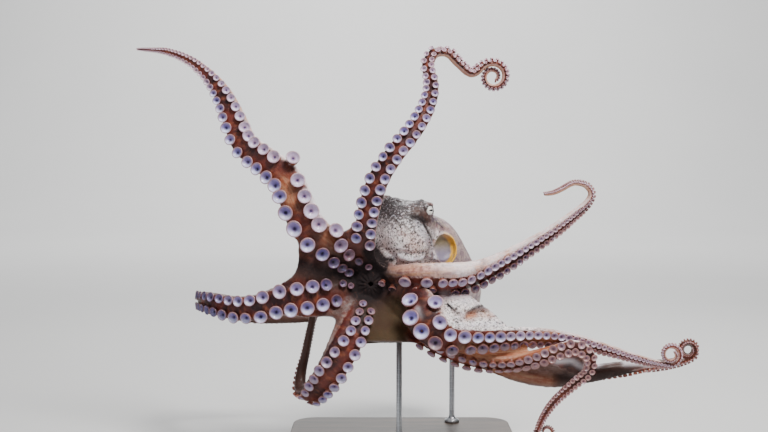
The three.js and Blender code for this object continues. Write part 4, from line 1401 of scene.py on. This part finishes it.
def sucker_finish(colours):
    """A sucker's tissue: dark pit, violet cup, lavender rim and orange stalk."""
    finish = Finish("sucker_tissue", {
        "Coat Weight": 0.3, "Coat Roughness": 0.15, "Specular IOR Level": 0.45,
        "Subsurface Weight": 0.12, "Subsurface Scale": 0.003,
        "Subsurface Radius": (0.8, 0.5, 0.7)})
    shade, pallor = finish.attribute("shade"), finish.attribute("pallor")
    low = finish.attribute("low")
    ripple = finish.noise(620, 3)
    look = (shade + 0.08 * (ripple - 0.5)) / 2.0
    cup = finish.ramp(look, [
        (0.0, colours.pit), (0.04, colours.pit), (0.1, colours.cup_deep),
        (0.22, colours.cup), (0.38, colours.cup_pale), (0.46, colours.rim),
        (0.54, colours.rim), (0.64, colours.cheek), (0.82, colours.stalk),
        (1.0, colours.stalk)])
    # Painted light on the cup's lower wall, and painted shade on the rim's upper side.
    wall = shade.step(0.14, 0.4) * shade.step(1.06, 0.78)
    cup = finish.mixed(low.step(-0.14, 0.3) * wall * 0.92, cup, colours.glow)
    cup = finish.mixed(low.step(-0.05, -0.4) * shade.step(0.6, 1.1) * 0.6, cup, colours.cheek)
    chalky = finish.ramp(look, [
        (0.0, colours.cup), (0.08, colours.blush), (0.22, colours.chalk),
        (0.5, colours.chalk), (0.66, colours.blush), (0.82, colours.stalk)])
    # Pallor: paler suckers, partly painted light on rows that face the light.
    cup = finish.mixed(pallor * 0.85, cup, chalky)
    # A warm painted shade over rows that face down and suckers by the mouth.
    warm = finish.attribute("warm") * finish.noise(150, 2).step(0.15, 0.45)
    cup = finish.mixed(warm * 0.9, cup, colours.warm_shade, "MULTIPLY")
    cup = finish.mixed(finish.attribute("dusk") * 0.85, cup, colours.dusk, "MULTIPLY")
    cup = finish.mixed(finish.noise(240, 3).step(0.5, 0.75) * 0.2, cup, colours.cheek)
    finish.paint(colour=cup, roughness=0.3 + 0.2 * ripple)
    finish.bump(ripple + 0.5 * finish.noise(1400, 2), 0.0005, 0.5)
    return finish.material


def eye_finish(colours):
    """A silvery iris with a level slit for a pupil, under a wet coat."""
    finish = Finish("octopus_eye", {
        "Coat Weight": 1.0, "Coat Roughness": 0.04, "Specular IOR Level": 0.6})
    level, across = finish.attribute("level"), finish.attribute("across")
    radius = (level * level + across * across) ** 0.5
    slit = abs(level) * 760 + (abs(across) * 180) ** 2.4
    slit = slit.step(1.25, 0.95)
    rays = finish.noise(900, 4, 0.65)
    iris = finish.mixed(rays.step(0.35, 0.7), colours.iris, colours.iris_shade)
    iris = finish.mixed(radius.step(0.0062, 0.0086), iris, colours.iris_edge)
    finish.paint(colour=finish.mixed(slit, iris, colours.pupil), roughness=0.16 + 0.1 * rays)
    finish.bump(rays, 0.0002, 0.4)
    return finish.material


def wood_finish(colours):
    """Dark stained wood with a satin lacquer."""
    finish = Finish("stained_wood", {
        "Coat Weight": 0.25, "Coat Roughness": 0.3, "Specular IOR Level": 0.4})
    grain_at = finish.node("ShaderNodeMapping", {}, {
        "Vector": finish.places, "Scale": (6, 70, 70)}).outputs[0]
    grain = finish.noise(1.0, 6, 0.62, grain_at)
    fibre_at = finish.node("ShaderNodeMapping", {}, {
        "Vector": finish.places, "Scale": (40, 900, 900)}).outputs[0]
    fibre = finish.noise(1.0, 3, 0.6, fibre_at)
    colour = finish.mixed(grain.step(0.35, 0.68), colours.wood, colours.wood_grain)
    colour = finish.mixed(fibre.step(0.55, 0.8) * 0.35, colour, colours.wood_pore)
    finish.paint(colour=colour, roughness=0.36 + 0.18 * fibre)
    finish.bump(grain * 0.6 + fibre, 0.0003, 0.5)
    return finish.material


def steel_finish(colours):
    """Steel brushed round the rod."""
    finish = Finish("brushed_steel", {"Metallic": 1.0})
    brushed_at = finish.node("ShaderNodeMapping", {}, {
        "Vector": finish.places, "Scale": (60, 60, 2600)}).outputs[0]
    brushed = finish.noise(1.0, 3, 0.6, brushed_at)
    colour = finish.mixed(brushed.step(0.3, 0.7), colours.steel, colours.steel_shade)
    finish.paint(colour=colour, roughness=0.24 + 0.2 * brushed)
    finish.bump(brushed, 0.0001, 0.5)
    return finish.material


def floor_finish(colours):
    """A pale, slightly uneven studio floor."""
    finish = Finish("studio_floor", {"Specular IOR Level": 0.2})
    cloud = finish.noise(1.4, 3)
    finish.paint(colour=finish.mixed(cloud, colours.floor, colours.floor_shade),
                 roughness=0.7 + 0.1 * cloud)
    return finish.material


# ---- Eyes, stand and stage -------------------------------------------------------------------


def build_eye(name):
    """An eyeball with a slightly raised cornea, and where its surface lies round its gaze."""
    centre, gaze = at(EYES[name]["centre"]), Vector(EYES[name]["gaze"])
    axes = facing_axes(gaze)
    radius = EYE_RADIUS * MM
    bm = bmesh.new()
    level, across = (bm.verts.layers.float.new(key) for key in ("level", "across"))
    bmesh.ops.create_uvsphere(bm, u_segments=96, v_segments=64, radius=radius)
    for vert in bm.verts:
        share = max(vert.co.z / radius, 0)
        vert[across], vert[level] = vert.co.x, vert.co.y
        vert.co *= 1 + 0.02 * float(smoothstep(0.55, 0.95, share))
        if share == 0:
            vert[across] += radius
    bmesh.ops.transform(bm, matrix=Matrix.Translation(centre) @ axes.to_4x4(), verts=bm.verts)
    piece = new_piece(name.replace("eye", "eyeball"), bm)
    smooth_shaded(piece)
    return piece


def build_base():
    """A slab with round corners and eased edges."""
    length, width, thickness = at(BASE["size"])
    bm = bmesh.new()
    matrix = Matrix.Translation((0, 0, thickness / 2))
    matrix = matrix @ Matrix.Diagonal((length, width, thickness, 1))
    bmesh.ops.create_cube(bm, size=1, matrix=matrix)
    upright = [edge for edge in bm.edges
               if abs(edge.verts[0].co.z - edge.verts[1].co.z) > thickness / 2]
    bmesh.ops.bevel(bm, geom=upright, offset=BASE["corner"] * MM, segments=14, profile=0.5,
                    affect="EDGES", material=-1)
    flat = [face for face in bm.faces if abs(face.normal.z) > 0.9]
    rim = list({edge for face in flat for edge in face.edges})
    bmesh.ops.bevel(bm, geom=rim, offset=BASE["bevel"] * MM, segments=4, profile=0.5,
                    affect="EDGES", material=-1)
    return new_piece("display_base", bm)


def build_rod(name):
    """A rod that rises from a round foot, turned about its axis."""
    (x, y), top = RODS[name]
    bottom = BASE["size"][2] + 0.3
    foot, height = FOOT["radius"], FOOT["height"]
    outline = [
        (0, bottom), (foot - 0.6, bottom), (foot, bottom + 0.6), (foot, bottom + height / 3),
        (foot - 0.8, bottom + height / 3 + 0.9), (ROD_RADIUS + 2.2, bottom + height * 0.62),
        (ROD_RADIUS + 0.7, bottom + height * 0.82), (ROD_RADIUS, bottom + height + 2),
        (ROD_RADIUS, top - 0.8), (ROD_RADIUS - 0.8, top), (0, top),
    ]
    bm = bmesh.new()
    verts = [bm.verts.new((x * MM + r * MM, y * MM, z * MM)) for r, z in outline]
    edges = [bm.edges.new(pair) for pair in zip(verts, verts[1:])]
    bmesh.ops.spin(bm, geom=verts + edges, cent=(x * MM, y * MM, 0), axis=(0, 0, 1),
                   angle=2 * math.pi, steps=48, use_merge=True)
    bmesh.ops.remove_doubles(bm, verts=bm.verts, dist=1e-6)
    bmesh.ops.recalc_face_normals(bm, faces=bm.faces)
    piece = new_piece(name, bm)
    smooth_shaded(piece)
    return piece


def build_floor():
    """A floor that curves up into a backdrop."""
    size, back, rise = FLOOR["size"], FLOOR["back"], FLOOR["rise"]
    bm = bmesh.new()
    bmesh.ops.create_grid(bm, x_segments=1, y_segments=1, size=0.5,
                          matrix=Matrix.Diagonal((size, size, 1, 1)))
    bmesh.ops.translate(bm, verts=bm.verts, vec=(0, back - size / 2, 0))
    rear = [edge for edge in bm.edges
            if all(abs(vert.co.y - back) < 1e-6 for vert in edge.verts)]
    made = bmesh.ops.extrude_edge_only(bm, edges=rear)["geom"]
    bmesh.ops.translate(bm, verts=[v for v in made if isinstance(v, bmesh.types.BMVert)],
                        vec=(0, 0, rise))
    bmesh.ops.bevel(bm, geom=rear, offset=rise * 0.45, segments=24, profile=0.5,
                    affect="EDGES", material=-1)
    bmesh.ops.recalc_face_normals(bm, faces=bm.faces)
    piece = new_piece("studio_floor", bm)
    smooth_shaded(piece)
    return piece


def soft_light(name, place, aim, size, power, colour):
    """A square soft light that looks at a point."""
    light = bpy.data.lights.new(name, "AREA")
    light.size = size
    light.energy = power
    light.color = colour
    lamp = bpy.data.objects.new(name, light)
    lamp.location = place
    lamp.rotation_euler = (Vector(aim) - Vector(place)).to_track_quat("-Z", "Y").to_euler()
    bpy.context.scene.collection.objects.link(lamp)


# ---- Settings --------------------------------------------------------------------------------


def tint(name, description, colour):
    """A colour that a user can change."""
    return bpy.props.FloatVectorProperty(
        name=name, description=description, subtype="COLOR", size=4, min=0, max=1,
        default=(*colour, 1))


def watts(name, description, power):
    """A light's power that a user can change."""
    return bpy.props.FloatProperty(
        name=name, description=description, default=power, min=0, unit="POWER")


class OctopusSkinSettings(bpy.types.PropertyGroup):
    """The skin's fineness and colours."""

    voxel: bpy.props.FloatProperty(
        name="Detail", description="Size of the skin's smallest features before thinning",
        default=SKIN_VOXEL * MM, min=0.0008, max=0.005, precision=5, unit="LENGTH")
    triangles: bpy.props.IntProperty(
        name="Triangles", description="Most triangles that the skin keeps",
        default=SKIN_TRIANGLES, min=20000, max=199000)
    groove: tint("Groove", "Darkest skin between the suckers", (0.036, 0.006, 0.007))
    flesh: tint("Flesh", "Skin between the suckers", (0.135, 0.022, 0.014))
    stretched: tint("Stretched", "Skin where it is stretched thin", (0.36, 0.1, 0.04))
    back: tint("Back", "Back of the arms", (0.74, 0.5, 0.44))
    mottle: tint("Mottle", "Mottling on the back of the arms", (0.2, 0.11, 0.12))
    tan: tint("Tan", "Wrinkles on the back of the arms", (0.5, 0.24, 0.13))
    edge: tint("Edge", "Pale edge along the arms", (0.88, 0.76, 0.77))
    # Also painted shade where the brown strokes lie in the crown, at the roots and in the folds.
    brown: tint("Brown", "Skin in the folds and on the darker arms", (0.06, 0.021, 0.013))
    head: tint("Head", "Pale skin of the head", (0.96, 0.9, 0.9))
    head_shade: tint("Head shade", "Darker skin of the head", (0.55, 0.46, 0.47))
    blush: tint("Blush", "Pink patches on the head", (0.62, 0.4, 0.37))
    grey: tint("Grey", "Top of the head", (0.15, 0.12, 0.13))
    mantle: tint("Mantle", "Mantle's purple skin", (0.13, 0.08, 0.125))
    mantle_pale: tint("Mantle, pale", "Mantle's pale skin", (0.44, 0.34, 0.3))
    web: tint("Web", "Oral side of the web", (0.056, 0.033, 0.012))
    web_shade: tint("Web shade", "Darker parts of the web", (0.036, 0.02, 0.008))
    khaki: tint("Khaki", "Upper wall inside the mantle's opening", (0.3, 0.26, 0.16))
    slate: tint("Slate", "Lower wall inside the mantle's opening", (0.21, 0.18, 0.26))
    gold: tint("Gold", "Band on the lip of the mantle's opening", (0.78, 0.44, 0.05))
    # Also painted highlights where the pale strokes lie on lit edges and folds.
    pale: tint("Pale", "Palest folds", (0.8, 0.76, 0.82))
    dark: tint("Dark", "Spots", (0.026, 0.018, 0.019))
    # Painted shade where the dark strokes lie: the crown round the mouth, the cleft below the head,
    # the arms' roots and the creases.
    painted_shade: tint("Hollow", "Creases and the folds round the mouth", (0.007, 0.002, 0.0025))


class OctopusSuckerSettings(bpy.types.PropertyGroup):
    """The suckers' colours."""

    pit: tint("Pit", "Hole in the middle of a sucker", (0.03, 0.02, 0.09))
    cup_deep: tint("Cup, deep", "Inside of the cup round the pit", (0.11, 0.08, 0.3))
    cup: tint("Cup", "Inside of the cup", (0.2, 0.155, 0.46))
    cup_pale: tint("Cup, pale", "Upper wall of the cup", (0.31, 0.24, 0.52))
    rim: tint("Rim", "Rim of the cup", (0.4, 0.26, 0.34))
    # Painted light.
    glow: tint("Glow", "Lower wall of the cup, where light falls", (0.68, 0.72, 1.0))
    chalk: tint("Chalk", "Cup of the palest suckers", (0.76, 0.6, 0.72))
    blush: tint("Blush", "Middle of the palest suckers", (0.5, 0.31, 0.4))
    # Also painted shade on the rim's upper side.
    cheek: tint("Cheek", "Outer wall under the rim", (0.33, 0.17, 0.15))
    # Painted shade, warm-toned, on rows that face down and on suckers by the mouth.
    warm_shade: tint("Ember", "Warm cast of the suckers near the mouth", (0.54, 0.33, 0.23))
    dusk: tint("Dusk", "Shade over the suckers beside the mouth", (0.3, 0.25, 0.42))
    stalk: tint("Stalk", "Foot of the sucker", (0.26, 0.075, 0.03))


class OctopusEyeSettings(bpy.types.PropertyGroup):
    """The eyes' colours."""

    iris: tint("Iris", "Pale part of the iris", (0.95, 0.95, 0.93))
    iris_shade: tint("Iris shade", "Flecks in the iris", (0.76, 0.73, 0.66))
    iris_edge: tint("Iris edge", "Dark ring round the iris", (0.1, 0.08, 0.07))
    pupil: tint("Pupil", "Slit of the pupil", (0.004, 0.004, 0.005))


class OctopusStandSettings(bpy.types.PropertyGroup):
    """The stand's colours."""

    wood: tint("Wood", "Stained wood", (0.032, 0.022, 0.017))
    wood_grain: tint("Grain", "Lighter grain", (0.085, 0.055, 0.038))
    wood_pore: tint("Pores", "Pores along the grain", (0.012, 0.008, 0.006))
    steel: tint("Steel", "Brushed steel", (0.62, 0.63, 0.65))
    steel_shade: tint("Steel shade", "Darker brushing", (0.4, 0.41, 0.43))


class OctopusStageSettings(bpy.types.PropertyGroup):
    """The studio round the octopus."""

    camera_place: bpy.props.FloatVectorProperty(
        name="Camera", description="Where the camera stands", subtype="TRANSLATION",
        unit="LENGTH", default=(-0.025, -1.653, 0.4121))
    camera_tilt: bpy.props.FloatProperty(
        name="Tilt", description="How far the camera looks down", subtype="ANGLE",
        default=math.radians(3))
    camera_lens: bpy.props.FloatProperty(
        name="Lens", description="Focal length in millimetres", default=55.147)
    key_power: watts("Key light", "Power of the main light", 64)
    fill_power: watts("Fill light", "Power of the light opposite", 6)
    rim_power: watts("Rim light", "Power of the light behind", 22)
    backdrop_power: watts("Backdrop light", "Power of the light on the backdrop", 420)
    floor: tint("Floor", "Pale studio floor", (0.66, 0.66, 0.65))
    floor_shade: tint("Floor shade", "Darker clouds on the floor", (0.6, 0.6, 0.6))


# ---- Operators -------------------------------------------------------------------------------


def flesh_nodes():
    """Every solid that the skin stands for."""
    return [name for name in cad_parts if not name.startswith(("stand_", "eye_"))]


class OCTOPUS_OT_skin(bpy.types.Operator):
    """Builds the skin of head, mantle, arms and web in one piece"""

    bl_idname = "octopus.skin"
    bl_label = "Skin"

    def execute(self, context):
        settings = context.scene.octopus_skin
        skin = build_skin(settings.voxel, settings.triangles)
        skin.data.materials.clear()
        skin.data.materials.append(skin_finish(settings))
        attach(skin, "root")
        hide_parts(*flesh_nodes())
        return {"FINISHED"}


class OCTOPUS_OT_suckers(bpy.types.Operator):
    """Builds the two rows of suckers of every arm"""

    bl_idname = "octopus.suckers"
    bl_label = "Suckers"

    def execute(self, context):
        material = sucker_finish(context.scene.octopus_suckers)
        levels = [(least, sucker_mesh(turns, rows)) for least, turns, rows in SUCKER_LEVELS]
        taken = []
        for name in ARM_LINES:
            suckers = build_suckers(name, taken, levels)
            suckers.data.materials.append(material)
            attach(suckers, "root")
        for _, mesh in levels:
            bpy.data.meshes.remove(mesh)
        return {"FINISHED"}


class OCTOPUS_OT_eyes(bpy.types.Operator):
    """Builds both eyes"""

    bl_idname = "octopus.eyes"
    bl_label = "Eyes"

    def execute(self, context):
        material = eye_finish(context.scene.octopus_eyes)
        for name in EYES:
            eye = build_eye(name)
            eye.data.materials.append(material)
            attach(eye, "root")
            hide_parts(name)
        return {"FINISHED"}


class OCTOPUS_OT_stand(bpy.types.Operator):
    """Builds the base and the rods of the stand"""

    bl_idname = "octopus.stand"
    bl_label = "Stand"

    def execute(self, context):
        settings = context.scene.octopus_stand
        base = build_base()
        base.data.materials.append(wood_finish(settings))
        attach(base, "root")
        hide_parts("stand_base")
        steel = steel_finish(settings)
        for name in RODS:
            rod = build_rod(name)
            rod.data.materials.append(steel)
            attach(rod, "root")
            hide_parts(f"stand_{name}")
        return {"FINISHED"}


class OCTOPUS_OT_stage(bpy.types.Operator):
    """Builds the floor, the lights and the camera"""

    bl_idname = "octopus.stage"
    bl_label = "Stage"

    def execute(self, context):
        settings = context.scene.octopus_stage
        floor = build_floor()
        floor.data.materials.append(floor_finish(settings))
        for name, (place, aim, size, colour) in LIGHTS.items():
            soft_light(name, place, aim, size, getattr(settings, f"{name}_power"), colour)
        world = bpy.data.worlds.new("studio")
        world.use_nodes = True
        background = world.node_tree.nodes["Background"]
        background.inputs["Color"].default_value = (*WORLD_COLOUR, 1)
        background.inputs["Strength"].default_value = WORLD_STRENGTH
        context.scene.world = world
        camera = bpy.data.objects.new("camera", bpy.data.cameras.new("camera"))
        camera.data.lens = settings.camera_lens
        camera.data.sensor_width = 36
        camera.location = settings.camera_place
        camera.rotation_euler = (math.pi / 2 - settings.camera_tilt, 0, 0)
        context.scene.collection.objects.link(camera)
        context.scene.camera = camera
        return {"FINISHED"}


class OCTOPUS_PT_panel(bpy.types.Panel):
    """Lists the octopus's pieces"""

    bl_idname = "OCTOPUS_PT_panel"
    bl_label = "Octopus"
    bl_space_type = "VIEW_3D"
    bl_region_type = "UI"
    bl_category = "Octopus"

    def draw(self, context):
        for operator in OPERATORS:
            self.layout.operator(operator.bl_idname)


OPERATORS = (
    OCTOPUS_OT_skin,
    OCTOPUS_OT_suckers,
    OCTOPUS_OT_eyes,
    OCTOPUS_OT_stand,
    OCTOPUS_OT_stage,
)
SETTINGS = {
    "octopus_skin": OctopusSkinSettings,
    "octopus_suckers": OctopusSuckerSettings,
    "octopus_eyes": OctopusEyeSettings,
    "octopus_stand": OctopusStandSettings,
    "octopus_stage": OctopusStageSettings,
}


def register():
    """Registers the settings, the operators and the panel."""
    for name, group in SETTINGS.items():
        bpy.utils.register_class(group)
        setattr(bpy.types.Scene, name, bpy.props.PointerProperty(type=group))
    for operator in OPERATORS:
        bpy.utils.register_class(operator)
    bpy.utils.register_class(OCTOPUS_PT_panel)


def unregister():
    """Takes back what register() did."""
    bpy.utils.unregister_class(OCTOPUS_PT_panel)
    for operator in reversed(OPERATORS):
        bpy.utils.unregister_class(operator)
    for name, group in SETTINGS.items():
        delattr(bpy.types.Scene, name)
        bpy.utils.unregister_class(group)


def main():
    """Builds every piece."""
    register()
    for name in ("skin", "suckers", "eyes", "stand", "stage"):
        getattr(bpy.ops.octopus, name)()


if __name__ == "__main__":
    main()
